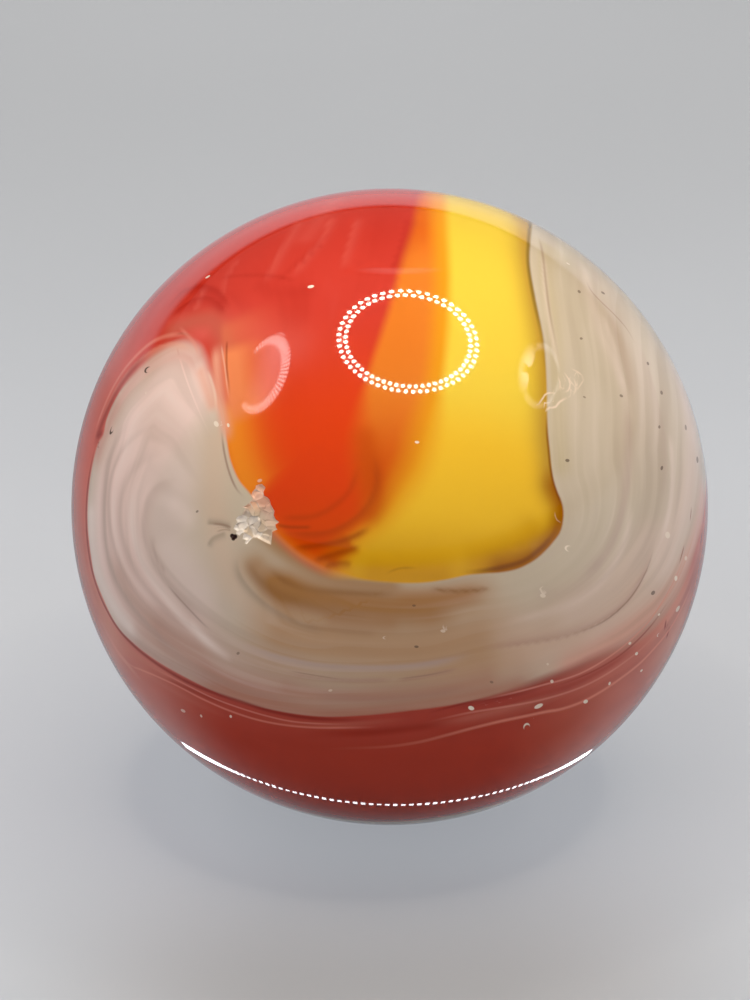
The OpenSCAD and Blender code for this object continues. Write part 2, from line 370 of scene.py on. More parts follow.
MILK_STROKES = {
    "petal": ("#FBDDD6", [
        ([(-42, -3), (-53, -9), (-63, -18), (-68, -30), (-65, -42), (-56, -52)], 8, 1.0),
        ([(-41, -8), (-48, -16), (-57, -26), (-58, -38), (-50, -48)], 8, 1.0)]),
    "ash": ("#EAD5CD", [([(-43, -24), (-48, -34), (-44, -46)], 6.5, 0.95)]),
    "oat": ("#DFC5B0", [([(-33.6, -20), (-35, -31), (-34.5, -42), (-31, -51), (-25, -57)], 3.4, 0.85)]),
    "bloom": ("#E4BCA4", [
        ([(4, -65), (16, -64), (30, -61), (42, -57), (52, -50), (58, -42), (62, -32)], (6.5, 6.4), 0.75)]),
    "flush": ("#DCA296", [
        ([(-66, -6), (-61, -1.5), (-55, 2.5), (-48, 4.5), (-41, 3.2), (-37, -0.5)], 2.4, 0.75),
        ([(-62, -55), (-52, -61.5), (-42, -66.5), (-32, -70)], 3.2, 0.5)]),
    "mist": ("#CFA596", [
        ([(-67, -50), (-59, -57), (-50, -61.6), (-40, -66), (-30, -69.6)], 4.2, 0.8),
        ([(-64.5, -36), (-62.5, -42), (-58.8, -48.5), (-54, -54), (-48, -59)], 4.0, 0.6),
        ([(-54, -50), (-44, -56), (-34, -61), (-22, -65)], 4.5, 0.5)]),
    "tan": ("#C69A72", [
        ([(-34, -52), (-22, -58), (-10, -61.6), (4, -63), (18, -61), (32, -57)], (8, 7.9), 1.0),
        ([(31, -57), (41, -52)], 5, 0.35)]),
    "caramel": ("#B98659", [
        ([(-27, -46), (-20, -50), (-12, -52.4), (-2, -53.2), (8, -52.8), (16, -51.2),
          (24, -48.8)], (2.6, 2.9), 1.0),
        ([(-15, -55.5), (-6, -57.2), (3, -57)], 1.8, 0.5)]),
    "umber": ("#B07A40", [
        ([(-27.4, -44.6), (-25.6, -47), (-22.6, -49.2)], 3.2, 0.7),
        ([(-27, -45.6), (-22.6, -49.2), (-18, -50.8), (-12, -52.6), (-4, -54.2), (6, -55),
          (16, -54.6)], (3.2, 3.1), 0.85)]),
    "straw": ("#B8906A", [
        ([(-25.4, -38), (-21.6, -42.2), (-15.6, -46.6), (-9, -49.2), (0, -50.4)], 2.0, 1.0)]),
    "clay": ("#C18069", [
        ([(-44, -67), (-30, -72), (-14, -75.4), (2, -75.6), (16, -73.6), (30, -69.4)], 4.4, 0.85),
        ([(-24, -69), (-8, -71.4), (8, -70.6), (22, -67)], 2.2, 0.45)]),
    "smoke": ("#C4B59C", [
        ([(34, 50), (35, 40), (37, 30)], 6, 0.8), ([(35, 24), (36, 14), (38, 6), (40, -2)], 5.0, 0.6)]),
    "sand": ("#D0BDAA", [
        ([(42, 24), (46, 10), (51, 0), (54, -6)], 6.5, 0.85), ([(50, -12), (50, -20)], 4, 0.4)]),
    "olive": ("#C6B48C", [
        ([(31, 30), (29.6, 18), (30.4, 6), (31.2, -6), (32, -16), (33.4, -24)], 2.2, 0.6)]),
    "shell": ("#EBD2C4", [
        ([(70, 14), (72, -2), (70, -16), (66, -28)], 5.5, 1.0),
        ([(57, -24), (57, -32), (52, -41), (44, -49), (33, -55.5), (18, -59.5)], (4.6, 4.5), 0.35),
        ([(57, -24), (57, -32), (52, -41), (44, -49), (35, -54.5)], (4.6, 4.5), 0.4),
        ([(66, -26), (65, -34), (60, -43), (52, -52), (42, -59), (30, -63)], (3.4, 3.3), 0.3),
        ([(66, -26), (65, -34), (60, -43), (52, -52), (44, -58)], (3.4, 3.3), 0.35)]),
    "rouge": ("#EBAE9C", [
        ([(80, -8), (78, -20), (74, -31), (69, -40), (63, -47), (54, -54.6), (44, -61.6)], 3.2, 0.85)]),
    "grey": ("#C4A69C", [
        (OUTER_ARC, (0.5, 1.5), 0.5), (MIDDLE_ARC, (0.5, 0.9), 0.35), (THIRD_ARC, (0.8, 1.6), 0.4),
        (INNER_ARC, (1.8, 0.6), 0.5), ([(-51.5, -32), (-51.6, -36.5), (-49.6, -41)], 0.4, 0.4),
        ([(-73, -42), (-67, -49.5), (-60, -56), (-51, -61.8), (-40, -67)], 1.4, 0.4),
        ([(47.5, -4), (49.2, -14), (49.6, -24), (48.6, -33), (45.8, -39.5), (40, -45)], (0.7, 1.5), 0.5),
        ([(52, 14), (55.5, 4), (58.2, -3), (60, -9), (61, -16), (61.2, -23)], (0.35, 2.6), 0.4),
        ([(43.6, 17), (45.6, 9), (47.6, 2), (48.8, -4)], (1.8, 0.3), 0.35),
        ([(-36, -58), (-31, -60.3), (-24, -63), (-16, -65), (-6, -65.9), (4, -65.6), (12, -64.2),
          (19, -62)], (0.5, 0.9), 0.8),
        ([(30, -50), (41, -46), (46, -38)], 1.4, 0.3)]),
    "pale": ("#FBE6DF", [
        ([(-52.4, -19.6), (-55.6, -23), (-57.2, -28), (-57, -33), (-55.4, -38.6), (-52.2, -44.6),
          (-47.6, -51.6), (-42.6, -57.4), (-37.5, -62)], (1.4, 0.8), 0.75),
        ([(-60.6, -17), (-62.6, -22), (-63.2, -28), (-62, -35), (-58.5, -41.5), (-53, -48)], 0.8, 0.4),
        ([(-72, -18), (-75, -26), (-74.6, -33), (-71.8, -40), (-67.5, -46.5)], 2.2, 0.75),
        ([(-46.6, -51), (-43.6, -55.4), (-40.4, -59), (-37, -62.2)], (1.2, 0.6), 0.4),
        ([(-44.5, -29), (-42, -32)], 2, 0.4),
        ([(42, 15), (44.4, 8), (46.4, 1), (47.6, -4)], (0.5, 1.4), 0.35),
        ([(40, 33), (39.8, 20.3), (41.4, 9), (44.8, 2.5), (47.7, -3.5), (49.9, -10.4)], (0.8, 1.6), 0.25),
        ([(29.4, 26), (29.2, 15), (29.4, 8), (30.4, 1.2), (31.6, -5.6)], (0.7, 0.4), 0.3),
        ([(60.4, -4), (62, -10), (63, -16), (63.2, -22), (62, -29)], (1.4, 0.4), 0.55),
        ([(51, -25), (51.4, -32), (49.4, -39), (44.6, -46), (36, -51.6), (24, -55.6)], 0.9, 0.5),
        ([(66, 22), (71, 4)], 3, 0.4)]),
    "mauve": ("#BB8A7A", [
        ([(-25, -65.8), (-17, -67.6), (-8, -68.6), (2, -68.4)], 0.5, 0.6),
        ([(1, -68.8), (8, -67.7), (16, -65.6)], 0.4, 0.6),
        ([(60.4, -30), (59.8, -36), (57.4, -42.4), (53.6, -47.4), (48, -52), (40, -56.2), (30, -59.2),
          (20, -61.4)], (0.3, 1.2), 0.7),
        ([(-20, -71), (-6, -72.6), (8, -71.8), (20, -69)], 0.9, 0.5)]),
    "brown": ("#95622E", [
        ([(-29.6, -41.8), (-28.8, -44.4), (-26.6, -47.6), (-23, -50.4), (-17.4, -52.8), (-10, -55),
          (-3, -56)], (0.9, 1.3), 0.45),
        ([(-25.4, -44.8), (-21.5, -48.2), (-16, -50.4), (-8, -51.4), (2, -51.8)], (0.8, 0.5), 0.6),
        ([(-19, -56.4), (-11, -58.4), (-2, -59.2)], 0.7, 0.3),
        ([(8, -50.6), (14, -50.7), (21, -49.6)], (0.4, 0.3), 0.7)]),
    "shade": ("#94806E", [
        ([(-31.4, -41.6), (-31.6, -44.6), (-30, -48), (-26, -52.2), (-20, -56),
          (-13, -58.6)], (0.4, 1.0), 0.35),
        ([(-37.6, -34.2), (-34.4, -35.2), (-31.8, -36.6)], (0.8, 0.25), 0.5),
        ([(-38, -38.8), (-36.4, -37.4), (-33, -37)], (0.3, 0.8), 0.4)]),
}
DARK_ARC = [(-45.6, 17.4), (-43.8, 20.1), (-41.5, 21.6), (-37.5, 20), (-34, 16.5), (-31.7, 12.7), (-30, 8.1)]
INNER_DARK_ARC = [(-44.6, 14), (-42.3, 15.5), (-38.8, 16.3), (-35.2, 14.5), (-32.4, 10.9), (-30.6, 6.8)]
WARM_STROKES = {
    "blush": ("#E8645A", [([(-34, 6), (-26, 1), (-18, -4)], 4.5, 0.45), ([(-43, 13), (-36, 5)], 2, 0.4)]),
    "dusk": ("#CE6250", [
        ([(-43, 10.4), (-37.4, 9.2), (-33.8, 7.3), (-31.8, 3.3), (-30.5, -1)], 2.2, 0.75)]),
    "wisp": ("#E8766A", [
        ([(-31.5, 12), (-31, 18), (-28.5, 24)], (1.1, 0.3), 0.15),
        ([(-23.5, 12), (-21.5, 18), (-19, 26), (-17, 34)], (0.4, 1.4), 0.22),
        ([(-18.4, 12), (-15, 18), (-12.4, 24), (-10.8, 32)], (0.3, 1.2), 0.22),
        ([(-15.5, 24), (-13.5, 30), (-11, 40)], 2.0, 0.15),
        ([(-9, 12), (-7.5, 20), (-6, 30)], (0.3, 1.2), 0.2), ([(-38, 12), (-36, 19)], (0.4, 1.0), 0.3)]),
    "garnet": ("#B02218", [
        (DARK_ARC, (0.5, 1.3), 0.6), (INNER_DARK_ARC, (0.4, 1.2), 0.5),
        ([(-33.5, 19.5), (-27, 16.6), (-21, 13.6), (-16.5, 10.6)], 0.5, 0.3),
        ([(-21, 11), (-14, 19.6), (-10.6, 25)], (0.9, 0.25), 0.25),
        ([(-17, 14), (-12, 21)], (0.4, 0.2), 0.3), ([(0, 10), (2, 20), (3, 30)], (0.2, 2.4), 0.35),
        ([(-26, 14), (-20, 9), (-12, 8)], 1.6, 0.2)]),
    "glow": ("#FB9024", [
        ([(-31.2, -11), (-30.4, -17), (-29.4, -24), (-27.6, -30), (-25.6, -33.4)], (5.2, 2.4), 1.0),
        ([(-25, -36), (-19, -43), (-12, -47.4)], (1.4, 0.4), 0.5)]),
    "peach": ("#F88E5A", [
        ([(-30.8, 0), (-30.4, -5), (-29.8, -11), (-28.6, -18)], (5.0, 1), 0.85),
        ([(-31.2, 7), (-30.6, 0), (-29.8, -8), (-29, -15)], (6.4, 1), 0.3)]),
    "ember": ("#CE4C02", [
        ([(-5, -20), (-3.8, -27), (-2.8, -32), (-2.8, -36), (-6, -39.6)], (2.0, 2.4), 0.6),
        ([(-7, -42), (-9.4, -43.6), (-12.6, -46)], (1.6, 2.0), 0.7)]),
    "brush": ("#A33A0C", [
        ([(-22.6, -37.5), (-19.4, -38.4), (-15, -38.9)], 0.35, 0.5),
        ([(-21.3, -39.3), (-12, -40), (-5.5, -37), (-2.6, -32), (-3, -26)], (0.5, 0.9), 0.35),
        ([(-22, -36.4), (-14, -36.8), (-8, -33.4), (-5.6, -28)], 0.6, 0.25),
        ([(-19.7, -42.1), (-13.1, -42.2), (-8, -41.4), (-3.4, -39.4)], (0.5, 0.7), 0.6),
        ([(-15.6, -45), (-10.8, -44), (-5.4, -42.9)], (0.5, 0.8), 0.6),
        ([(-13.4, -46.2), (-10.8, -45.8), (-7.4, -45.8)], (0.5, 0.9), 0.5)]),
    "ochre": ("#D9980F", [
        ([(-7, -47.4), (4, -48.2), (14, -47.4)], (2.6, 2), 0.6),
        ([(14, -46.4), (20, -44.2), (26, -40.6), (31, -35)], (3.4, 3), 0.55)]),
    "mustard": ("#C99C38", [
        ([(28.5, 50), (27.4, 38), (26.4, 24), (27.2, 10), (29, -4), (29.8, -18), (31.8, -27)], 4, 1.0)]),
    "burnt": ("#AE6804", [
        ([(32.6, -28.6), (34.4, -32.6), (33.4, -37.6), (30.4, -41.4), (26.6, -44),
          (22.6, -45.6)], 3.0, 1.0)]),
}
# Strokes that lie over everything, where the lobe's glass folds over the red.
FOLD_STROKES = {
    "salmon_fold": ("#F4AB91", [
        ([(-32.6, 1.5), (-32.8, -4), (-32.4, -10), (-31.6, -16), (-31, -21)], (1.4, 1.0), 0.9),
        ([(-36.6, -2), (-35, -8), (-33.6, -14)], 1.2, 0.6),
        ([(-66, -0.6), (-62.6, 3.4), (-58, 6.4), (-52, 8), (-46.4, 7.8), (-41.6, 5.6),
          (-37.6, 1.6)], (0.4, 1.0), 0.5)]),
}
EDGE_SOFT = 0.04  # mm to either side, over which the milky glass meets the rest at its sharpest
# Where the milky glass's outer edge frays into threads, and where it is blurred.
FRAYED = [([(-25, -38), (-19.6, -43.6), (-12, -47.8), (-2, -49.8)], 3, 0.12),
          ([(40, -67), (52, -59), (61, -50), (68, -40), (73, -28), (77, -12), (81, 4), (86, 22)], 11, 1.0),
          ([(-66, -4), (-74, -16)], 5, 0.3)]
BLURRED = [([(-25, -38), (-19.6, -43.6), (-12, -47.8)], 3.5, 0.9),
           ([(-54, 6), (-46, 7), (-40, 5.6), (-36, 1), (-34, -6), (-33, -12)], 3, 1.0),
           ([(66, -44), (74, -28), (79, -8), (83, 14)], 7, 0.7)]

# A line is its points, its half width in millimetres, its strength and the shares of its length over which
# it fades in and out. Lines of one set keep well apart.
LINES = {
    "dark_lines": ("#9A7566", [
        ([(29.6, 34.8), (29.6, 22.6), (29.6, 15), (30, 7.7), (31, 1.2),
          (32.3, -5.6)], 0.05, 0.45, 0.2, 0.4),
        ([(39.2, 24), (40, 20.6), (42.2, 18.6), (45.7, 16.9), (48.7, 15),
          (51.2, 11.5)], 0.045, 0.45, 0.3, 0.4),
        ([(60.6, -30), (59.8, -36.4), (57.2, -42.8), (53.4, -47.8), (48.4, -52),
          (40, -56.2)], 0.035, 0.6, 0.3, 0.5),
        ([(-50.6, -42.4), (-48.6, -45.2), (-45.6, -49.2), (-42.6, -53),
          (-40.4, -55.2)], 0.04, 0.45, 0.3, 0.3),
        ([(-32.2, -17), (-31.9, -22), (-31.2, -26), (-30, -29.4), (-28.2, -31.8)], 0.04, 0.7, 0.3, 0.3),
        ([(-24, -65.4), (-17, -67.1), (-10, -68.4)], 0.025, 0.4, 0.3, 0.4),
        ([(1, -68.4), (8, -67.5), (15, -65.9)], 0.025, 0.4, 0.3, 0.4),
        ([(-36.4, -34.6), (-33.8, -35.4), (-31.8, -36.4)], 0.035, 0.5, 0.3, 0.1),
        ([(-35.6, -36.4), (-33.6, -36.4), (-32, -36.9)], 0.03, 0.4, 0.3, 0.1)]),
    "red_lines": ("#94200F", [
        ([(-66, -2), (-71, -9), (-75, -17), (-77.4, -26), (-77.4, -33), (-75.9, -39), (-73.2, -45),
          (-68.3, -51.2), (-60.6, -58.3), (-52.5, -64.1), (-45, -68), (-38, -71), (-30, -74.2),
          (-21, -76.4), (-10, -77.4), (-2, -77.4)], 0.075, 0.85, 0.1, 0.15),
        ([(72.5, -37), (69, -44.2), (64.6, -50.4), (58.6, -56.6), (52, -61.4), (45, -65.2),
          (38, -68.2)], 0.045, 0.6, 0.3, 0.3),
        ([(74, -42.6), (75.2, -44.4)], 0.05, 0.9, 0.2, 0.2),
        ([(77.6, -42.6), (78.6, -45.2)], 0.05, 0.9, 0.2, 0.2),
        ([(72.6, -24.9), (72.2, -29.4)], 0.04, 0.7, 0.3, 0.3),
        ([(73, -15), (73.4, -18.6)], 0.04, 0.6, 0.3, 0.3),
        ([(82.6, -13.6), (83, -19)], 0.06, 0.8, 0.3, 0.3),
        ([(8, -76.2), (14, -74.4), (20, -72.7), (27, -71.2), (35, -69)], 0.05, 0.7, 0.3, 0.4),
        ([(-30.5, 1), (-30.6, -4.9), (-30.3, -8.5), (-29.9, -12)], 0.04, 0.55, 0.1, 0.5),
        ([(-67, -0.6), (-65.2, -1.8), (-63.4, -2.2)], 0.12, 0.8, 0.3, 0.3),
        ([(-42.5, 8.6), (-40.4, 7.6), (-38.6, 5.8)], 0.05, 0.5, 0.3, 0.3)]),
    "edge_lines": ("#864806", [
        ([(34.2, -34.4), (33.2, -37.2), (31.6, -39.6), (29.7, -41.6), (27.8, -43.2), (25.7, -44.3),
          (23.6, -45.1), (21, -45.9), (17.6, -46.7), (14, -47.2)], 0.08, 0.75, 0.3, 0.3),
        ([(29.4, -14), (29.8, -18.4), (30.4, -22), (31, -25), (31.7, -27.3), (32.6, -29.1), (33.6, -30.7),
          (34.4, -32)], 0.045, 0.75, 0.3, 0.1),
        ([(-1, -48), (2, -47), (6, -46.8)], 0.04, 0.25, 0.3, 0.4)]),
    "olive_lines": ("#83692A", [
        ([(30, 50), (29, 43), (27.2, 30.7), (26.2, 20), (26.8, 10), (28.4, 0), (29.1, -8),
          (29.4, -13)], 0.07, 0.8, 0.1, 0.4)]),
    "deep_lines": ("#A42812", [
        ([(-24, -79.9), (-14, -80.6), (-5, -80.6), (3, -79.8), (12, -78.3),
          (20, -76.2)], 0.16, 0.7, 0.4, 0.3),
        ([(-62, -60.3), (-54, -65.2), (-47, -69), (-41, -71.6)], 0.1, 0.6, 0.3, 0.3),
        ([(66, -50), (60, -56.4), (53, -61.8), (46, -66), (38, -69.4), (30, -71.8)], 0.15, 0.55, 0.3, 0.4),
        ([(-68, -4.6), (-65.4, -0.8), (-62, 2.4), (-57.4, 5.6), (-52, 7.4),
          (-47, 7.6)], 0.2, 0.85, 0.2, 0.3)]),
    "salmon_lines": ("#F09884", [
        ([(-79, -45), (-77.5, -51), (-74, -54.5), (-70, -56.7), (-64, -60), (-57, -64.1), (-50, -68.6),
          (-42, -72.9), (-35, -75.8), (-28, -77.7), (-20, -78.9), (-11, -79.3),
          (-2, -79.2)], 0.045, 0.6, 0.2, 0.15),
        ([(-22, -84.4), (-10, -84.7), (0, -84.3), (8, -83), (15, -81), (22, -78.8), (30, -76.4),
          (39.7, -73.6), (45.8, -71.9), (51.8, -69.2), (57.6, -65.4), (63.5, -60.6), (69.5, -55),
          (73.4, -50.2), (77, -45.2), (79.4, -41), (81.4, -36), (83, -30.9),
          (84.3, -25.8)], 0.065, 0.8, 0.5, 0.1),
        ([(-67.5, 0.4), (-64, 4.2), (-60.5, 7.3), (-57, 9.3), (-53, 10.4), (-49, 10.8), (-45.5, 10),
          (-42, 8.3), (-38.6, 5.8), (-36, 3)], 0.09, 0.5, 0.1, 0.3)]),
    # Pale pink threads, and a painted glint near the ball's lower left outline.
    "pink_threads_and_painted_glint": ("#EFA08E", [
        ([(-67, -56), (-60, -60.4), (-53, -64.9), (-46, -69.1), (-39, -72.4), (-32, -75.1), (-25, -77.1),
          (-16, -78.2), (-8, -78.4)], 0.035, 0.5, 0.3, 0.2),
        ([(8, -78.2), (15, -76.5), (21, -75), (29, -73.2), (39.5, -70.2), (49.7, -65.8), (56.6, -61.4),
          (62.6, -56.5), (67.1, -52.2), (71.5, -46.5), (75.6, -38)], 0.045, 0.5, 0.2, 0.4),
        ([(18, -73.2), (27, -70.8), (37.3, -67.3), (42.7, -65.3), (48.1, -62.7), (53.5, -59), (58.8, -54.4),
          (63.1, -49.8), (66.2, -45.7), (68.5, -41.5), (70.8, -36.6), (72.6, -31.6), (74, -26),
          (75.4, -18)], 0.04, 0.65, 0.2, 0.3),
        # A painted glint near the ball's lower left outline.
        ([(-83.5, -36), (-81.4, -43), (-79.3, -49), (-76, -54), (-72, -60)], 0.13, 0.6, 0.3, 0.4),
        ([(-41.6, 10.4), (-39.6, 7), (-37.6, 3.4), (-36.4, -1)], 0.06, 0.4, 0.3, 0.3)]),
    # Pale scuffs, and painted highlights along the lobe's fold and at the patch's corner.
    "scuffs_and_painted_highlights": ("#FFE8D6", [
        # A painted highlight along the lobe's fold.
        ([(-31.7, 0.6), (-31.3, -2.5), (-30.9, -5.5), (-30.6, -9), (-30.2, -12.6)], 0.03, 0.3, 0.15, 0.4),
        ([(34.5, -4), (35.8, -4.1), (37.2, -4.6)], 0.03, 0.5, 0.2, 0.3),
        ([(37.4, -5), (36.6, -6.6), (35.6, -8.6)], 0.025, 0.4, 0.2, 0.3),
        ([(33, -5.4), (34.2, -7), (34, -8.8), (32.8, -9.8)], 0.03, 0.6, 0.2, 0.3),
        ([(35, -5.8), (35.6, -7.6), (35, -9.6)], 0.028, 0.5, 0.3, 0.3),
        ([(31.6, -6.6), (32.2, -8.4), (31.6, -10)], 0.03, 0.5, 0.3, 0.3),
        # A painted highlight along the lobe's fold.
        ([(-34.8, -4), (-33.9, -6.8), (-33.2, -10), (-32.9, -14.5)], 0.05, 0.45, 0.2, 0.4),
        ([(27.7, -14), (28.6, -12.4), (29.4, -11.1), (31.4, -10.3)], 0.028, 0.7, 0.2, 0.2),
        # A painted highlight at the patch's corner.
        ([(32.9, -33.2), (33.4, -34.4), (34.6, -34.9)], 0.02, 0.35, 0.2, 0.2),
        ([(29.4, -14.7), (30, -13.8), (31.3, -13.3), (32.2, -11.9), (34, -10.3)], 0.035, 0.75, 0.1, 0.3)]),
}
LINE_REACH = 3.0  # a line's strength is kept for as many half widths on each side
SPREAD = 0.18  # share of a stroke's length over which it fades at either end
NARROW = 1.9  # degrees; a stroke of at least this half width on both sides alike ends round instead
LINE_FAR = 9  # a line's distance is stored up to this many half widths


def stroked(places, strokes):
    """How strongly soft strokes cover each place, added up to 1. Each covers exp(-(distance / half width)^2)
    with its own half width on either side of its way, and one that doesn't end round fades there."""
    cover = np.zeros(len(places))
    for points, half_widths, strength in strokes:
        left, right = np.broadcast_to(half_widths, 2) * DEGREE
        widest = max(left, right)
        gap, along = from_line(places, smooth_line(on_crown(points)), 3 * widest)
        share = strength * np.exp(-np.square(gap / np.where(gap > 0, left, right)))
        if widest < NARROW * DEGREE or left != right:
            share *= eased(along, -0.01, SPREAD) * eased(1 - along, -0.01, SPREAD)
        cover += share
    return np.clip(cover, 0, 1)


def drawn(places, lines):
    """Fine lines as a vector for each place: the signed distance from the nearest line in half widths of
    it, then that line's strength there, which is nothing further off."""
    near = np.full(len(places), np.inf)
    values = np.zeros((len(places), 3))
    for points, half_width, strength, fade_in, fade_out in lines:
        gap, along = from_line(places, smooth_line(on_crown(points)), 5 * half_width)
        size = gap / half_width
        nearer = np.abs(size) < near
        near[nearer] = np.abs(size[nearer])
        fade = eased(along, 0, fade_in) * eased(1 - along, 0, fade_out)
        values[nearer, 0] = np.clip(size[nearer], -LINE_FAR, LINE_FAR)
        values[nearer, 1] = (strength * fade)[nearer]
    values[near > LINE_REACH, 1] = 0
    return values


# ---------------------------------------------------------------------------------------------------------
# Bubbles, specks and moons: place in crown degrees, half length in millimetres, turn in degrees, paleness
# from -1 (dark) to 1 (pale) and how deep a bite turns it into a crescent.
# ---------------------------------------------------------------------------------------------------------
SPOTS = [
    (-14.3, 8.9, 0.09, 0, 1.0, 0), (-35.7, 21.8, 0.08, 0, 0.8, 0), (-49.2, 3.6, 0.15, 330, -1.3, 1),
    (-60.3, -4.2, 0.15, 20, -1.3, 1), (-39.2, -31.5, 0.05, 0, -0.6, 0), (-49.5, -1.8, 0.06, 60, 0.5, 1),
    (20, -74.2, 0.1, 0, 1.0, 0), (38.3, -72.1, 0.13, 70, 0.9, 0), (36.7, -77.5, 0.15, 0, 1.0, 1),
    (53.3, -68.8, 0.1, 30, 1.0, 0), (59.6, -62.9, 0.07, 0, 0.9, 0), (65.8, -53.8, 0.08, 30, 0.9, 0),
    (72, -56.3, 0.07, 40, 0.8, 0), (72.9, -46.7, 0.09, 50, 0.8, 1), (78.8, -37.5, 0.14, 50, 0.8, 0),
    (64.6, -26.7, 0.14, 20, 0.7, 0), (75, -26.7, 0.1, 30, 0.6, 0), (37.1, -39.2, 0.13, 10, 0.8, 1),
    (32.5, -47.9, 0.1, 40, 0.5, 1), (11.7, -57.5, 0.09, 80, 0.5, 1), (5.8, -61.7, 0.06, 0, -0.7, 0),
    (5, -53.8, 0.05, 0, -0.6, 0), (34.6, -22.9, 0.07, 20, -0.7, 0), (64.2, -40, 0.1, 40, -0.7, 0),
    (59.2, -14.2, 0.08, 60, -0.7, 0), (37.5, -9, 0.05, 0, -0.5, 0), (57.5, -5.4, 0.07, 50, -0.6, 0),
    (46.3, -4.6, 0.07, 20, -0.6, 0), (74.6, -0.8, 0.14, 50, -0.6, 0), (58.3, 4.2, 0.09, 50, -0.6, 0),
    (54.2, 9.2, 0.08, 50, -0.6, 0), (36.7, 4.2, 0.06, 40, -0.6, 0), (35.4, 26.7, 0.06, 0, 0.5, 0),
    (5, -24.3, 0.06, 0, 0.8, 0), (-59.5, -70.2, 0.1, 130, 0.5, 0), (-53, -72.7, 0.06, 0, 0.7, 0),
    (-42.6, -74.2, 0.06, 0, 0.8, 0), (-33.2, -16.1, 0.1, 120, 0.8, 0), (-30.7, -17.1, 0.06, 100, 0.8, 0),
    (-35.2, -60.5, 0.06, 0, -0.5, 0), (-14, -70.5, 0.06, 0, 0.5, 0), (24, -68, 0.06, 0, -0.5, 0),
    (68, 2.6, 0.11, 60, -0.5, 0), (43.3, 22.7, 0.09, 30, -0.6, 0), (37, 17.7, 0.08, 60, -0.6, 0),
    (72.4, -33, 0.11, 20, 0.9, 0), (69.5, -43, 0.06, 40, 0.9, 0), (61.4, -52.6, 0.07, 30, 0.8, 0),
    (32.8, -49.2, 0.09, 10, 0.6, 0), (11.4, -58.4, 0.07, 0, 0.5, 0), (-25, -29, 0.07, 0, 0.4, 0),
    (40, -66, 0.07, 0, 0.8, 0), (-1, -60, 0.07, 0, 0.5, 1), (37.5, -62.5, 0.05, 0, 0.5, 0)]


def spotted(places):
    """For each place, its position in half lengths from the middle of the nearest spot, along and across
    it, and its plain distance; then that spot's paleness and bite."""
    x, y, size, turn, tone, bite = np.array(SPOTS).T
    middles = on_crown(np.stack([x, y], -1))
    right = unit(np.cross(CROWN[1], middles))
    up = np.cross(middles, right)
    turn = np.radians(turn)[:, None]
    along, across = np.cos(turn) * right + np.sin(turn) * up, np.cos(turn) * up - np.sin(turn) * right
    near = (places @ middles.T).argmax(1)
    off = (places - middles[near]) * BALL_R / size[near, None]
    local = np.stack([(off * along[near]).sum(1), (off * across[near]).sum(1)], -1)
    gap = np.linalg.norm(off, axis=1)
    return np.column_stack([local, gap]), tone[near], bite[near]


def marble_mesh():
    """The ball with its wear, and every field that the material reads."""
    places = ball_places()
    outer = chip_distance(places)
    depth = worn(places)
    vertices = places * (BALL_R - depth)[:, None] * MM
    rings = (len(places) - 2) // BEARINGS
    mesh = mesh_of("swirled_marble", vertices, *ball_faces(rings))

    patch_line, rim_line, red_line, yellow_line = (
        smooth_line(on_crown(points)) for points in (PATCH_SIDE, RIM_SIDE, RED_EDGE, YELLOW_EDGE))
    milky_line = np.vstack([patch_line[:0:-1], rim_line])
    patch_gap, rim_gap, milky_gap, red_gap, yellow_gap = (
        from_line(places, line)[0] for line in (patch_line, rim_line, milky_line, red_line, yellow_line))
    far = np.abs(rim_gap)
    local, tone, bite = spotted(places)
    _, paleness, flake_edge = flaked(places, outer)
    pit = np.max([r - np.linalg.norm(places @ FACE[:2].T * BALL_R - c, axis=1)
                  for c, r, _ in PIT_HOLLOWS], axis=0)
    fields = {
        "milky_edge": milky_gap,
        "milky_stream": far / np.maximum(far + np.abs(patch_gap), TINY),
        "warm_stream": far / np.maximum(far + np.abs(red_gap), TINY),
        "rim_gap": rim_gap, "patch_gap": patch_gap, "red_edge": red_gap, "yellow_edge": yellow_gap,
        "fray": stroked(places, FRAYED), "blur": stroked(places, BLURRED)}
    for name, (_, strokes) in {**MILK_STROKES, **WARM_STROKES, **FOLD_STROKES}.items():
        fields[name] = stroked(places, strokes)
    for name, (_, lines) in LINES.items():
        fields[name] = drawn(places, lines)
    fields |= {
        "spot": local, "spot_tone": tone, "spot_bite": bite,
        "chip_edge": outer, "flake_pale": paleness, "flake_edge": flake_edge,
        "pit_edge": np.where(places @ FACE[2] > 0, pit, -BALL_R)}
    for name, values in fields.items():
        keep(mesh, name, values)
    return mesh


# ---------------------------------------------------------------------------------------------------------
# Shader maths as Python expressions.
# ---------------------------------------------------------------------------------------------------------
def colour(code):
    """Linear red, green, blue and alpha of a colour written as six hex digits."""
    levels = [int(code[i : i + 2], 16) / 255 for i in (1, 3, 5)]
    return [v / 12.92 if v <= 0.04045 else ((v + 0.055) / 1.055) ** 2.4 for v in levels] + [1.0]


class Value:
    """A socket that carries a number. Arithmetic on it adds Math nodes to its recipe."""

    def __init__(self, recipe, socket):
        self.recipe, self.socket = recipe, socket

    def __neg__(self):
        return self.recipe.math("MULTIPLY", self, -1.0)

    def __abs__(self):
        return self.recipe.math("ABSOLUTE", self)

    def most(self, other):
        """The greater of the two."""
        return self.recipe.math("MAXIMUM", self, other)


def add_operator(sign, operation):
    """Gives sockets an operator on two numbers, whichever side of it the socket is on."""
    setattr(Value, f"__{sign}__", lambda self, other: self.recipe.math(operation, self, other))
    setattr(Value, f"__r{sign}__", lambda self, other: self.recipe.math(operation, other, self))


for sign, operation in (("add", "ADD"), ("sub", "SUBTRACT"), ("mul", "MULTIPLY"), ("truediv", "DIVIDE"),
                        ("pow", "POWER")):
    add_operator(sign, operation)


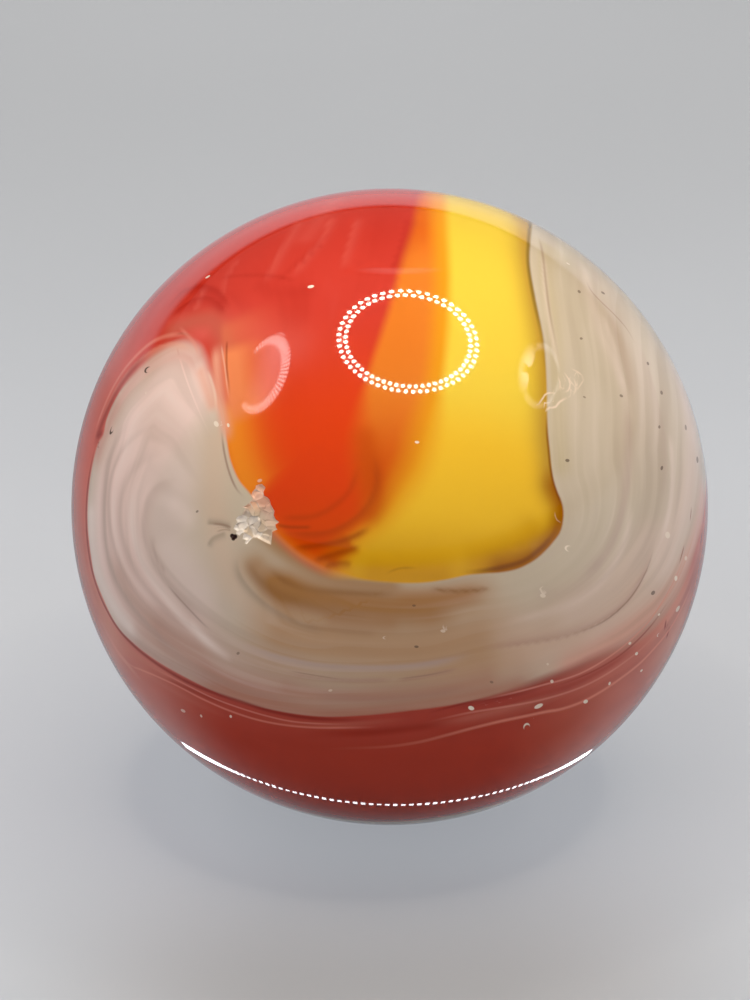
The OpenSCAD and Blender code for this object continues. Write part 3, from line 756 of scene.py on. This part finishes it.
class Recipe:
    """The node tree of one material, or of the room."""

    def __init__(self, owner):
        owner.use_nodes = True
        self.owner, self.tree = owner, owner.node_tree
        self.tree.nodes.clear()

    def node(self, kind, settings=None, inputs=None, output=0):
        """Adds any node: its settings first, then the values or links of its sockets, and returns one
        output."""
        made = self.tree.nodes.new("ShaderNode" + kind)
        for name, value in (settings or {}).items():
            setattr(made, name, value)
        for name, value in (inputs or {}).items():
            if isinstance(value, Value):
                self.tree.links.new(value.socket, made.inputs[name])
            else:
                made.inputs[name].default_value = value
        return Value(self, made.outputs[output])

    def done(self, shader):
        """Makes a shader the surface, or the room's background, and returns what the recipe is for."""
        kind = "World" if isinstance(self.owner, bpy.types.World) else "Material"
        end = self.tree.nodes.new("ShaderNodeOutput" + kind)
        self.tree.links.new(shader.socket, end.inputs["Surface"])
        return self.owner

    def math(self, operation, *values):
        """A Math node of one or two numbers."""
        return self.node("Math", {"operation": operation}, dict(enumerate(values)))

    def length(self, x, y):
        """Length of a flat vector."""
        return (x * x + y * y) ** 0.5

    def vector_field(self, name):
        """The three numbers of a vector stored on the mesh."""
        return self.split(self.node("Attribute", {"attribute_name": name}, output="Vector"))

    def field(self, name):
        """A number stored on the mesh."""
        return self.node("Attribute", {"attribute_name": name}, output="Fac")

    def along(self, place, direction):
        """How far a place lies along a direction."""
        return self.node("VectorMath", {"operation": "DOT_PRODUCT"}, {0: place, 1: direction.tolist()},
                         output="Value")

    def split(self, vector):
        """The three numbers of a vector."""
        parts = self.node("SeparateXYZ", inputs={0: vector}).socket.node
        return [Value(self, socket) for socket in parts.outputs]

    def step(self, value, low, high):
        """0 below low, 1 above high and a smooth step between."""
        return self.node("MapRange", {"interpolation_type": "SMOOTHSTEP"},
                         {"Value": value, "From Min": low, "From Max": high})

    def mix(self, share, first, second):
        """The first colour turned towards the second by a share from 0 to 1."""
        return self.node("Mix", {"data_type": "RGBA", "clamp_factor": True},
                         {0: share, 6: first, 7: second}, output=2)

    def noise(self, vector, scale, w=None, detail=2.0, rough=0.5):
        """Noise from about 0 to 1, drawn out wherever its fourth coordinate is a stream."""
        inputs = {"Vector": vector, "Scale": scale, "Detail": detail, "Roughness": rough}
        if w is None:
            return self.node("TexNoise", {"noise_dimensions": "3D"}, inputs)
        return self.node("TexNoise", {"noise_dimensions": "4D"}, {**inputs, "W": w})


# ---------------------------------------------------------------------------------------------------------
# The glass.
# ---------------------------------------------------------------------------------------------------------
RED, DARK_RED, PALE_RED, LOW_RED, FOOT_RED = map(colour, (
    "#D43F31", "#C02E20", "#DE5247", "#E9440F", "#E64E04"))
ORANGE, DEEP_ORANGE, AMBER_ORANGE, LOW_ORANGE = map(colour, ("#F0882E", "#E26A12", "#F2A01C", "#DC5808"))
YELLOW, TOP_YELLOW, LOW_YELLOW, FOOT_YELLOW = map(colour, ("#F9D648", "#F2CF42", "#FFCB34", "#E8AC1A"))
MILK, PALE_MILK, MILK_SHADE = map(colour, ("#D5C5B1", "#FFEFE8", "#A98E7C"))
OXBLOOD, OXBLOOD_DARK, OXBLOOD_ROSE, SHEEN_ROSE = map(colour, ("#BC4434", "#A82E16", "#E08874", "#F2AE9A"))
THREAD_PALE, THREAD_DARK = map(colour, ("#E89A86", "#8E1F10"))
PALE_SPOT, DARK_SPOT, PIT = map(colour, ("#FFF0E2", "#5A4236", "#3A1408"))
FLAKE, CHIP_SALMON, CHIP_TAN, CHIP_GAP_SHADE = map(colour, ("#FFF4EC", "#FFB890", "#E2CBB2", "#8A6448"))
STREAKY = ("grey", "pale", "mauve", "brown", "shade", "clay")  # sets of strokes that come and go along them
SPOT_SQUAT = 2.6  # square of a spot's length over its width
BITE_ASIDE = 0.45  # how far a crescent's bite lies to one side, in half lengths
POLISH, GLASS_BEND = 0.035, 1.5  # roughness, and index of refraction


def swirled_glass():
    """Polished glass. The colours meet where the mesh's fields say, and streaks follow its streams."""
    r = Recipe(bpy.data.materials.new("swirled_glass"))
    place = r.node("VectorMath", {"operation": "SCALE"},
                   {0: r.node("TexCoord", output="Object"), "Scale": 1 / MM})
    f = {name: r.field(name) for name in (
        "milky_edge", "milky_stream", "warm_stream", "rim_gap", "patch_gap", "red_edge", "yellow_edge",
        "fray", "blur", "spot_tone", "spot_bite", "chip_edge", "flake_pale", "flake_edge", "pit_edge")}
    height = r.along(place, WAIST[2])
    across, upward = r.along(place, CROWN[0]), r.along(place, CROWN[1])
    sway = r.noise(place, 0.22, detail=1) - 0.5

    # Milky glass: its own colour in each region, veils and threads along its stream, and arcs and wisps.
    milk_t = f["milky_stream"] + sway * 0.06
    broad = r.noise(place, 0.10, milk_t * 9.0, 1)
    middle = r.noise(place, 0.14, milk_t * 26.0 + 7, 2)
    fine = r.noise(place, 0.18, milk_t * 80.0 + 3, 2)
    uneven = 0.4 + r.step(middle, 0.25, 0.7) * 0.85
    wide = r.step(abs(f["patch_gap"]) + abs(f["rim_gap"]), 2.6, 5.4)
    milk = MILK
    for name, (tint, _) in MILK_STROKES.items():
        if name == "grey":
            milk = r.mix(r.step(middle, 0.5, 0.3) * wide * 0.2, milk, MILK_SHADE)
            milk = r.mix(r.step(broad, 0.5, 0.7) * wide * 0.22, milk, PALE_MILK)
        share = r.field(name)
        if name in STREAKY:
            share = share * uneven
        milk = r.mix(share, milk, colour(tint))
    veil = r.math("FRACT", milk_t * 11.0 + middle * 2.2)
    veiled = r.step(veil, 1.0, 0.2) * r.step(veil, 0.0, 0.06) * r.step(broad, 0.35, 0.6)
    milk = r.mix(veiled * wide * 0.13, milk, PALE_MILK)
    milk = r.mix(r.step(fine, 0.52, 0.32) * wide * 0.2, milk, MILK_SHADE)
    milk = r.mix(r.step(fine, 0.5, 0.7) * wide * 0.18, milk, PALE_MILK)

    # Red glass, darker above and hotter below, and oxblood below the waist, rosier towards its sides. Near
    # the
    #     ball's left and right outlines both carry a painted pale sheen.
    warm_t = f["warm_stream"] + sway * 0.08
    red_streak = r.noise(place, 0.14, warm_t * 28.0, 3, 0.6)
    red = r.mix(r.step(red_streak, 0.28, 0.5) * 0.5 + 0.5, DARK_RED, RED)
    red = r.mix(r.step(red_streak, 0.52, 0.75) * 0.5, red, PALE_RED)
    red = r.mix(r.step(upward, 1.0, 3.6) * 0.6, red, DARK_RED)
    hot = r.mix(r.step(upward, -3.9, -5.6), LOW_RED, FOOT_RED)
    red = r.mix(r.step(upward, 0.8, -3.2), red, hot)
    ox_streak = r.noise(place, 0.12, f["milky_edge"] * 1.6 + sway, 3, 0.6)
    ox = r.mix(r.step(ox_streak, 0.3, 0.5), OXBLOOD_DARK, OXBLOOD)
    aside = r.step(across, 2.4, 6.6) + r.step(across, -3.8, -7.2)
    ox = r.mix((r.step(ox_streak, 0.3, 0.7) * 0.4 + 0.6) * aside * 0.8, ox, OXBLOOD_ROSE)
    # Painted sheen: the oxblood paler near the ball's lower left and right outlines.
    right_sheen = r.step(across, 6.0, 7.5) * r.step(upward, -2.2, -3.8)
    left_sheen = r.step(across, -6.4, -7.2) * r.step(upward, -3.0, -4.0) * 0.6
    ox = r.mix((right_sheen + left_sheen) * 0.8, ox, SHEEN_ROSE)
    rim_threads = r.noise(place, 0.10, f["milky_edge"] * 8.0, 2, 0.6)
    by_rim = r.step(abs(f["milky_edge"]), 1.5, 0.1)
    ox = r.mix(r.step(rim_threads, 0.52, 0.68) * by_rim * 0.5, ox, THREAD_PALE)
    ox = r.mix(r.step(rim_threads, 0.46, 0.32) * by_rim * 0.5, ox, THREAD_DARK)
    # Painted sheen: the red rosier near the ball's left and right outlines.
    red = r.mix(r.step(abs(across), 5.8, 7.6) * 0.4, red, OXBLOOD_ROSE)
    warm = r.mix(r.step(height + sway * 2, 0.0, 3.0), ox, red)

    # Orange and yellow.
    orange_streak = r.noise(place, 0.14, f["red_edge"] * 2.2, 2)
    orange = r.mix(r.step(upward, 1.6, 3.4), ORANGE, DEEP_ORANGE)
    orange = r.mix(r.step(upward, -1.8, -4.2), orange, LOW_ORANGE)
    orange = r.mix(r.step(orange_streak, 0.4, 0.7) * 0.3, orange, DEEP_ORANGE)
    low = r.step(upward, -1.5, -3.2)
    orange = r.mix(r.step(f["yellow_edge"], low * -0.35 - 0.6, -0.05), orange, AMBER_ORANGE)
    yellow = r.mix(r.step(upward, 4.0, 1.0), TOP_YELLOW, YELLOW)
    yellow = r.mix(r.step(upward, -1.5, -3.5), yellow, LOW_YELLOW)
    yellow = r.mix(r.step(upward, -4.6, -6.1), yellow, FOOT_YELLOW)
    on_top = r.step(height, 1.6, 2.4)
    ragged = (orange_streak - 0.5) * low * 0.5
    past_red = r.step(f["red_edge"] + ragged, low * -0.25 - 0.12, low * 0.35 + 0.2)
    past_orange = r.step(f["yellow_edge"] + ragged, low * -0.2 - 0.12, low * 0.25 + 0.22)
    crown = r.mix(past_red * on_top, warm, orange)
    crown = r.mix(past_orange * on_top, crown, yellow)
    by_edge = r.step(f["patch_gap"], 1.1, 0.0)
    for name, (tint, _) in WARM_STROKES.items():
        share = r.field(name)
        if name == "mustard":
            share = share * by_edge
        elif name == "burnt":
            share = share * (0.5 + 0.5 * by_edge)
        crown = r.mix(share, crown, colour(tint))

    # The milky glass laid into the warm, its outer edge frayed into threads on one side.
    threads = r.noise(place, 0.16, f["milky_edge"] * 6.0, 2) - 0.5
    edge = f["milky_edge"] + threads * f["fray"] * 1.5
    soft = f["fray"] * 0.14 + f["blur"] * 0.16 + EDGE_SOFT
    glass = r.mix(r.step(edge, -soft, soft), crown, milk)
    glass = r.mix(r.step(height + sway * 0.6, -4.8, -5.1), glass, milk)
    for name, (tint, _) in FOLD_STROKES.items():
        glass = r.mix(r.field(name) * (0.55 + r.step(fine, 0.3, 0.6) * 0.45), glass, colour(tint))
    for name, (tint, _) in LINES.items():
        gap, strength, _ = r.vector_field(name)
        glass = r.mix(r.step(abs(gap), 1.4, 0.0) * strength, glass, colour(tint))

    # Bubbles and moons.
    spot_x, spot_y, spot_gap = r.vector_field("spot")
    width, bite_x = spot_y * spot_y * SPOT_SQUAT, spot_x - BITE_ASIDE
    body = r.step(spot_x * spot_x + width, 1.1, 0.6)
    bitten = r.step(bite_x * bite_x + width, 1.0, 0.5)
    spot = body * (1 - bitten * f["spot_bite"]) * r.step(spot_gap, 2.2, 1.6)
    glass = r.mix(spot * f["spot_tone"].most(0.0), glass, PALE_SPOT)
    glass = r.mix(spot * (-f["spot_tone"]).most(0.0), glass, DARK_SPOT)

    # The chip's flakes, salmon above and tan below, with painted highlights along some edges and painted
    # shade in
    #     the gaps between them, and the dark pit.
    chip = r.step(f["chip_edge"], -0.008, 0.012)
    grain = r.noise(place, 3.0, detail=2)
    flakes = r.mix(r.step(r.along(place, FACE[1]), -0.25, 0.2), CHIP_TAN, CHIP_SALMON)
    flakes = r.mix(r.step(f["flake_pale"] + grain * 0.3, 0.35, 1.1), flakes, FLAKE)
    # Painted highlights: pale along some of the flakes' edges.
    flakes = r.mix(r.step(f["flake_edge"], 0.03, 0.015) * r.step(grain, 0.6, 0.4) * 0.5, flakes, FLAKE)
    # Painted shade in the gaps between the flakes.
    gaps = r.step(f["flake_edge"], 0.014, 0.0) * r.step(grain, 0.42, 0.58)
    flakes = r.mix(gaps * (f["flake_pale"] * 0.6 + 0.1), flakes, CHIP_GAP_SHADE)
    glass = r.mix(chip * (f["flake_pale"] * 0.2 + 0.78), glass, flakes)
    pit = r.step(f["pit_edge"], -0.012, 0.012)
    glass = r.mix(pit, glass, PIT)

    rough = chip * 0.35 + pit * 0.3 + spot * 0.15 + POLISH
    return r.done(r.node("BsdfPrincipled", inputs={
        "Base Color": glass, "Roughness": rough, "IOR": GLASS_BEND}))


def make_marble():
    """The finished ball, in place of the plain one."""
    marble = bpy.data.objects.new("swirled_marble", marble_mesh())
    bpy.context.scene.collection.objects.link(marble)
    marble.data.materials.append(swirled_glass())
    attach(marble, "root")
    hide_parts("marble")
    return marble


# ---------------------------------------------------------------------------------------------------------
# Floor, lamps and camera, in metres.
# ---------------------------------------------------------------------------------------------------------
FLOOR_Z = low_corner[2]
FLOOR_FLAT, FLOOR_RIM, FLOOR_CURVE = 1.8, 5.2, 0.1
FLOOR_SIDES = 96
# The floor's rings lie close together under the ball.
FLOOR_RADII = np.concatenate([np.geomspace(0.002, FLOOR_FLAT, 18), np.linspace(2.0, FLOOR_RIM, 20)])
PAPER_ROUGH, PAPER_BEND = 0.3, 1.45  # roughness, and index of refraction
FAR_GLOW = 0.62  # how brightly the far part of the sweep, behind the ball, is lit
SHADOW_FILL, FILL_GLOW = 0.55, 0.95  # share and strength of the even light that thins the ball's shadow
# The floor as the ball's polish shows it, a painted reflection: dark by FOOT_DIM in front of the ball, a
# painted shadow, between the distances in FOOT_DARK and FOOT_FRONT. Past that it is as bright as
# NEAR_MIRRORED, with
# FAR_MIRRORED more far behind the ball and LIT_MIRRORED more behind it on the right, and it fades out between
# the distances in HAZE_ENDS.
FOOT_DARK, FOOT_FRONT, FOOT_DIM = (0.014, 0.0085), (-0.001, -0.006), 0.86
NEAR_MIRRORED, FAR_MIRRORED, LIT_MIRRORED, HAZE_ENDS = 0.55, 0.25, 0.35, (4.5, 3.2)
# The lamp's own reflection in the floor: its middle, radius and half width, how many beads it would have all
# round, and how far it runs either way from the front, in radians, getting wider towards both ends.
FOOT_RING_AT, FOOT_RING_R, FOOT_RING_HALF = (-0.00027, 0.00106), 0.0061, 0.00007
FOOT_RING_BEADS, FOOT_RING_GLOW = 150, 22.0
FOOT_RING_FRONT, FOOT_RING_REACH = -1.545, 1.4
LAMP_AWAY = 0.16
LAMP_RINGS = (19.7, 21.8)  # half angles of the two rows of beads, in degrees
BEADS = 54
BEAD_R, BEAD_CORNERS = 0.0021, 8
BEAD_GLOW = 53.0
SIDE_AWAY = 0.3
SIDE_TICKS, BETWEEN_TICKS = 54, 0.15  # ticks all round, and how bright a ring is between them
SIDE_CORNERS = 48
# The room as it lights the ball, as its polish shows it, and as the view shows it past the floor.
ROOM_GLOW, ROOM_MIRRORED, ROOM_SEEN = 0.42, 0.12, 0.57
CAMERA_AWAY = 0.7
PIXELS_WIDE, PIXELS_HIGH = 750, 1000
BALL_AT_PIXEL = (389.7, 506.8)
BALL_PIXELS = 318.4  # radius of the ball's outline
LAMP_AT_PIXEL = (408.3, 339.3)  # middle of the overhead lamp's reflection
# Each side lamp's reflection: middle, half sizes, lean of its upper end to the right in degrees, the bearing
# at which its ring is thickest, how far the ring runs round from there, its inner edge (0 fills it) and how
# far that is set off, the light inside the ring as a share of the ring's, and its glow.
SIDE_LAMPS = [
    ((265.5, 375.0), (22.0, 43.5), 23.0, 20.0, 140.0, 0.8, 0.13, 0.3, 8.0),
    ((280.5, 337.0), (7.0, 5.0), 0.0, 0.0, 180.0, 0.0, 0.0, 0.0, 8.0),
    ((259.0, 405.0), (5.0, 13.0), 51.0, 0.0, 180.0, 0.0, 0.0, 0.0, 6.0),
    ((527.0, 370.0), (11.5, 30.0), 8.0, 0.0, 180.0, 0.0, 0.0, 0.0, 6.0),
    ((539.0, 376.5), (21.0, 34.0), 3.0, 180.0, 180.0, 0.84, 0.05, 0.0, 3.6),
    ((400.0, 272.0), (58.0, 5.0), 0.0, 0.0, 180.0, 0.0, 0.0, 0.0, 1.0)]
CAMERA_LIFT = 28.0


def floor_sweep():
    """A round sweep of pale paper: flat, then height = curve * (radius - flat)^2 towards its rim."""
    radius, around = FLOOR_RADII[:, None], bearings(FLOOR_SIDES)
    height = FLOOR_Z + FLOOR_CURVE * np.square(np.maximum(radius - FLOOR_FLAT, 0)) + 0 * around
    rings = np.stack([radius * np.cos(around), radius * np.sin(around), height], -1)
    fan = np.stack([np.full(FLOOR_SIDES, rings[..., 0].size), *next_round(FLOOR_SIDES)], -1)
    vertices = np.vstack([rings.reshape(-1, 3), [[0, 0, FLOOR_Z]]])
    return mesh_of("floor", vertices, ring_faces(len(radius), FLOOR_SIDES, 0), fan)


def floor_paper():
    """Pale, faintly uneven paper with a slight gloss, greyer behind the ball, darker just in front of it as a
    painted shadow, and lit by itself further back. What the ball's polish shows of it is a painted
    reflection: dark before the ball's foot as a painted shadow, apart from the lamp's own reflection there,
    which is a fine beaded ring, and fades into haze far off."""
    r = Recipe(bpy.data.materials.new("floor_paper"))
    place = r.node("TexCoord", output="Object")
    x, y, _ = r.split(place)
    away = r.length(x, y)
    cloud = r.noise(place, 40.0, detail=3)
    tone = r.mix(r.step(cloud, 0.3, 0.7), colour("#C6CAD2"), colour("#CDD1D9"))
    tone = r.mix(r.step(y, 0.014, 0.04) * 0.6, tone, colour("#AEB1B6"))
    # A painted shadow: the floor darker just in front of the ball.
    before = r.step(y, -0.002, -0.011) * r.step(y, -0.03, -0.014) * r.step(abs(x), 0.012, 0.002)
    tone = r.mix(before * 0.65, tone, colour("#9A9897"))
    far = r.step(away, 0.06, 0.22) * r.step(y / away, -0.35, 0.15)
    paper = r.node("BsdfPrincipled", inputs={
        "Base Color": tone, "Roughness": PAPER_ROUGH, "IOR": PAPER_BEND, "Emission Color": tone,
        "Emission Strength": far * FAR_GLOW})
    ring_x, ring_y = x - FOOT_RING_AT[0], y - FOOT_RING_AT[1]
    turned = r.math("ARCTAN2", ring_y, ring_x)
    aside = abs(turned - FOOT_RING_FRONT)
    ends = r.step(aside, FOOT_RING_REACH * 0.5, FOOT_RING_REACH * 0.9)
    bead = r.math("SINE", turned * FOOT_RING_BEADS)
    half = (ends * 1.5 + r.noise(place, 1600.0, detail=2) * 2.0) * FOOT_RING_HALF
    ring = r.step(abs(r.length(ring_x, ring_y) - FOOT_RING_R), half * 1.3, half * 0.4)
    ring = ring * (ends + (1 - ends) * r.step(bead, -0.5, 0.3) * 0.7)
    ring = ring * r.step(aside, FOOT_RING_REACH, FOOT_RING_REACH - 0.05)
    # The painted shadow in front of the ball, as its polish shows the floor.
    foot = r.step(away, *FOOT_DARK) * r.step(y, *FOOT_FRONT) * FOOT_DIM
    lit = r.step(y + x * 0.8, 0.012, 0.03)
    behind = r.step(y / away, 0.8, 0.97)
    haze = r.step(away, behind * 0.6 + HAZE_ENDS[0], behind + HAZE_ENDS[1])
    bright = (far * FAR_MIRRORED + lit * LIT_MIRRORED + NEAR_MIRRORED) * haze
    mirrored = r.node("Emission", inputs={
        "Color": tone, "Strength": (1 - foot) * bright + ring * FOOT_RING_GLOW})
    seen = r.node("LightPath", output="Is Camera Ray")
    fill = r.node("Emission", inputs={"Color": tone, "Strength": FILL_GLOW})
    paper = r.node("MixShader", inputs={0: seen * SHADOW_FILL, 1: paper, 2: fill})
    glossy = r.node("LightPath", output="Is Glossy Ray")
    return r.done(r.node("MixShader", inputs={0: glossy, 1: paper, 2: mirrored}))


def seen_direction(px, py):
    """Direction out of the ball at a pixel of the view, and the direction to the viewer."""
    x, y = (px - BALL_AT_PIXEL[0]) / BALL_PIXELS, (BALL_AT_PIXEL[1] - py) / BALL_PIXELS
    view = leaned(90 - CAMERA_LIFT)
    return np.array([x, y, math.sqrt(1 - x * x - y * y)]) @ view, view[2]


def mirrored_at(px, py):
    """Place on the ball at a pixel of the view, and the way its polish turns the view: the direction to the
    viewer, turned over about the ball's own direction there."""
    out, view = seen_direction(px, py)
    return out * BALL_R * MM, 2 * (out @ view) * out - view


def lamp_beads():
    """Two rings of small flat discs overhead, each facing the ball: bead k of a ring is turned
    2 pi k / BEADS about the lamp's axis and leans out from it by the ring's half angle."""
    start, axis = mirrored_at(*LAMP_AT_PIXEL)
    right = unit(np.cross([0, 1, 0], axis))
    up = np.cross(axis, right)
    row, bead = np.divmod(np.arange(2 * BEADS), BEADS)
    turn = (2 * math.pi * (bead + row / 2) / BEADS)[:, None]
    lean = np.radians(np.array(LAMP_RINGS)[row])[:, None]
    side = np.cos(turn) * right + np.sin(turn) * up
    toward = np.cos(lean) * axis + np.sin(lean) * side
    u = unit(np.cross(toward, side))
    v = np.cross(toward, u)
    corner = bearings(BEAD_CORNERS)[:, None]
    discs = np.cos(corner) * u[:, None] - np.sin(corner) * v[:, None]
    vertices = (start + toward * LAMP_AWAY)[:, None] + BEAD_R * discs
    mesh = bpy.data.meshes.new("lamp_beads")
    corners = np.arange(2 * BEADS * BEAD_CORNERS).reshape(-1, BEAD_CORNERS)
    mesh.from_pydata(vertices.reshape(-1, 3).tolist(), [], corners.tolist())
    return mesh


def side_lamp(name, pixel, half_sizes, lean):
    """A soft lamp off to one side whose reflection is a leaning oval: corner k is where the view goes when
    it is mirrored at that corner of the oval. The UV map runs from -1 to 1 both ways."""
    around = bearings(SIDE_CORNERS)
    flat = np.vstack([np.stack([np.cos(around), np.sin(around)], -1), [[0, 0]]])
    c, s = math.cos(math.radians(lean)), math.sin(math.radians(lean))
    corners = np.array(pixel) + (flat * half_sizes) @ np.array([[c, s], [s, -c]])
    vertices = [start + toward * SIDE_AWAY for start, toward in (mirrored_at(*corner) for corner in corners)]
    fan = [(k, (k + 1) % SIDE_CORNERS, SIDE_CORNERS) for k in range(SIDE_CORNERS)]
    mesh = bpy.data.meshes.new(name)
    mesh.from_pydata([vertex.tolist() for vertex in vertices], [], fan)
    mesh.uv_layers.new(name="UVMap").uv.foreach_set("vector", flat[np.ravel(fan)].astype(np.float32).ravel())
    return mesh


def bead_light():
    """The beads' own light."""
    r = Recipe(bpy.data.materials.new("bead_light"))
    return r.done(r.node("Emission", inputs={"Color": colour("#FFF3DC"), "Strength": BEAD_GLOW}))


def side_light(thickest, reach, inner, offset, filled, glow):
    """Light in a ring near the lamp's edge, ticked and open on one side, over a disc that is brighter towards
    the ring, or in a soft disc alone. The ring's inner edge is a circle set off away from where the ring is
    thickest."""
    r = Recipe(bpy.data.materials.new("side_light"))
    u, v, _ = r.split(r.node("UVMap"))
    away = r.length(u, v)
    light = r.step(away, 1.0, 0.2)
    if inner:
        c, s = math.cos(math.radians(thickest)), math.sin(math.radians(thickest))
        toward_side = u * c + v * s
        turned = r.math("ARCTAN2", v * c - u * s, toward_side)
        side = r.step(abs(turned), math.radians(reach), math.radians(reach) * 0.92)
        ticks = r.step(r.math("SINE", turned * SIDE_TICKS), -0.4, 0.4) * (1 - BETWEEN_TICKS) + BETWEEN_TICKS
        inside = r.length(u + offset * c, v + offset * s)
        ring = r.step(away, 1.0, 0.93) * r.step(inside, inner - 0.12, inner + 0.02) * side * ticks
        light = ring + r.step(away, 1.0, 0.8) * r.step(toward_side, -0.9, 0.4) * filled
    return r.done(r.node("Emission", inputs={"Color": colour("#FFF9F4"), "Strength": light * glow}))


def make_room():
    """The room's own soft light, which shows darker in polished glass."""
    world = bpy.data.worlds.new("room")
    r = Recipe(world)
    mirrored = r.node("LightPath", output="Is Glossy Ray")
    seen = r.node("LightPath", output="Is Camera Ray")
    glow = ROOM_GLOW + mirrored * (ROOM_MIRRORED - ROOM_GLOW) + seen * (ROOM_SEEN - ROOM_GLOW)
    tone = r.mix(seen, colour("#FFFDFA"), colour("#F2F6FE"))
    bpy.context.scene.world = r.done(r.node("Background", inputs={"Color": tone, "Strength": glow}))


def make_stage():
    """Floor and lamps, which aren't part of the marble."""
    things = [(floor_sweep(), floor_paper()), (lamp_beads(), bead_light())]
    things += [(side_lamp(f"side_lamp_{k + 1}", *lamp[:3]), side_light(*lamp[3:]))
               for k, lamp in enumerate(SIDE_LAMPS)]
    for mesh, material in things:
        thing = bpy.data.objects.new(mesh.name, mesh)
        bpy.context.scene.collection.objects.link(thing)
        mesh.materials.append(material)


def make_camera():
    """A long lens, CAMERA_LIFT above the horizon, slid sideways so that the ball lies at its own pixel."""
    camera = bpy.data.cameras.new("camera")
    holder = bpy.data.objects.new("camera", camera)
    bpy.context.scene.collection.objects.link(holder)
    right, up, back = leaned(90 - CAMERA_LIFT)
    spread = math.tan(math.asin(BALL_R * MM / CAMERA_AWAY))
    camera.lens = camera.sensor_width * BALL_PIXELS / PIXELS_HIGH / spread
    pixel = BALL_R * MM / BALL_PIXELS
    slide = (PIXELS_WIDE / 2 - BALL_AT_PIXEL[0]) * right + (BALL_AT_PIXEL[1] - PIXELS_HIGH / 2) * up
    holder.location = (back * CAMERA_AWAY + slide * pixel).tolist()
    holder.rotation_euler = (math.radians(90 - CAMERA_LIFT), 0, 0)
    camera.clip_start, camera.clip_end = 0.01, 10
    bpy.context.scene.camera = holder


make_camera()
make_marble()
make_stage()
make_room()
bpy.context.scene.view_settings.view_transform = "Standard"
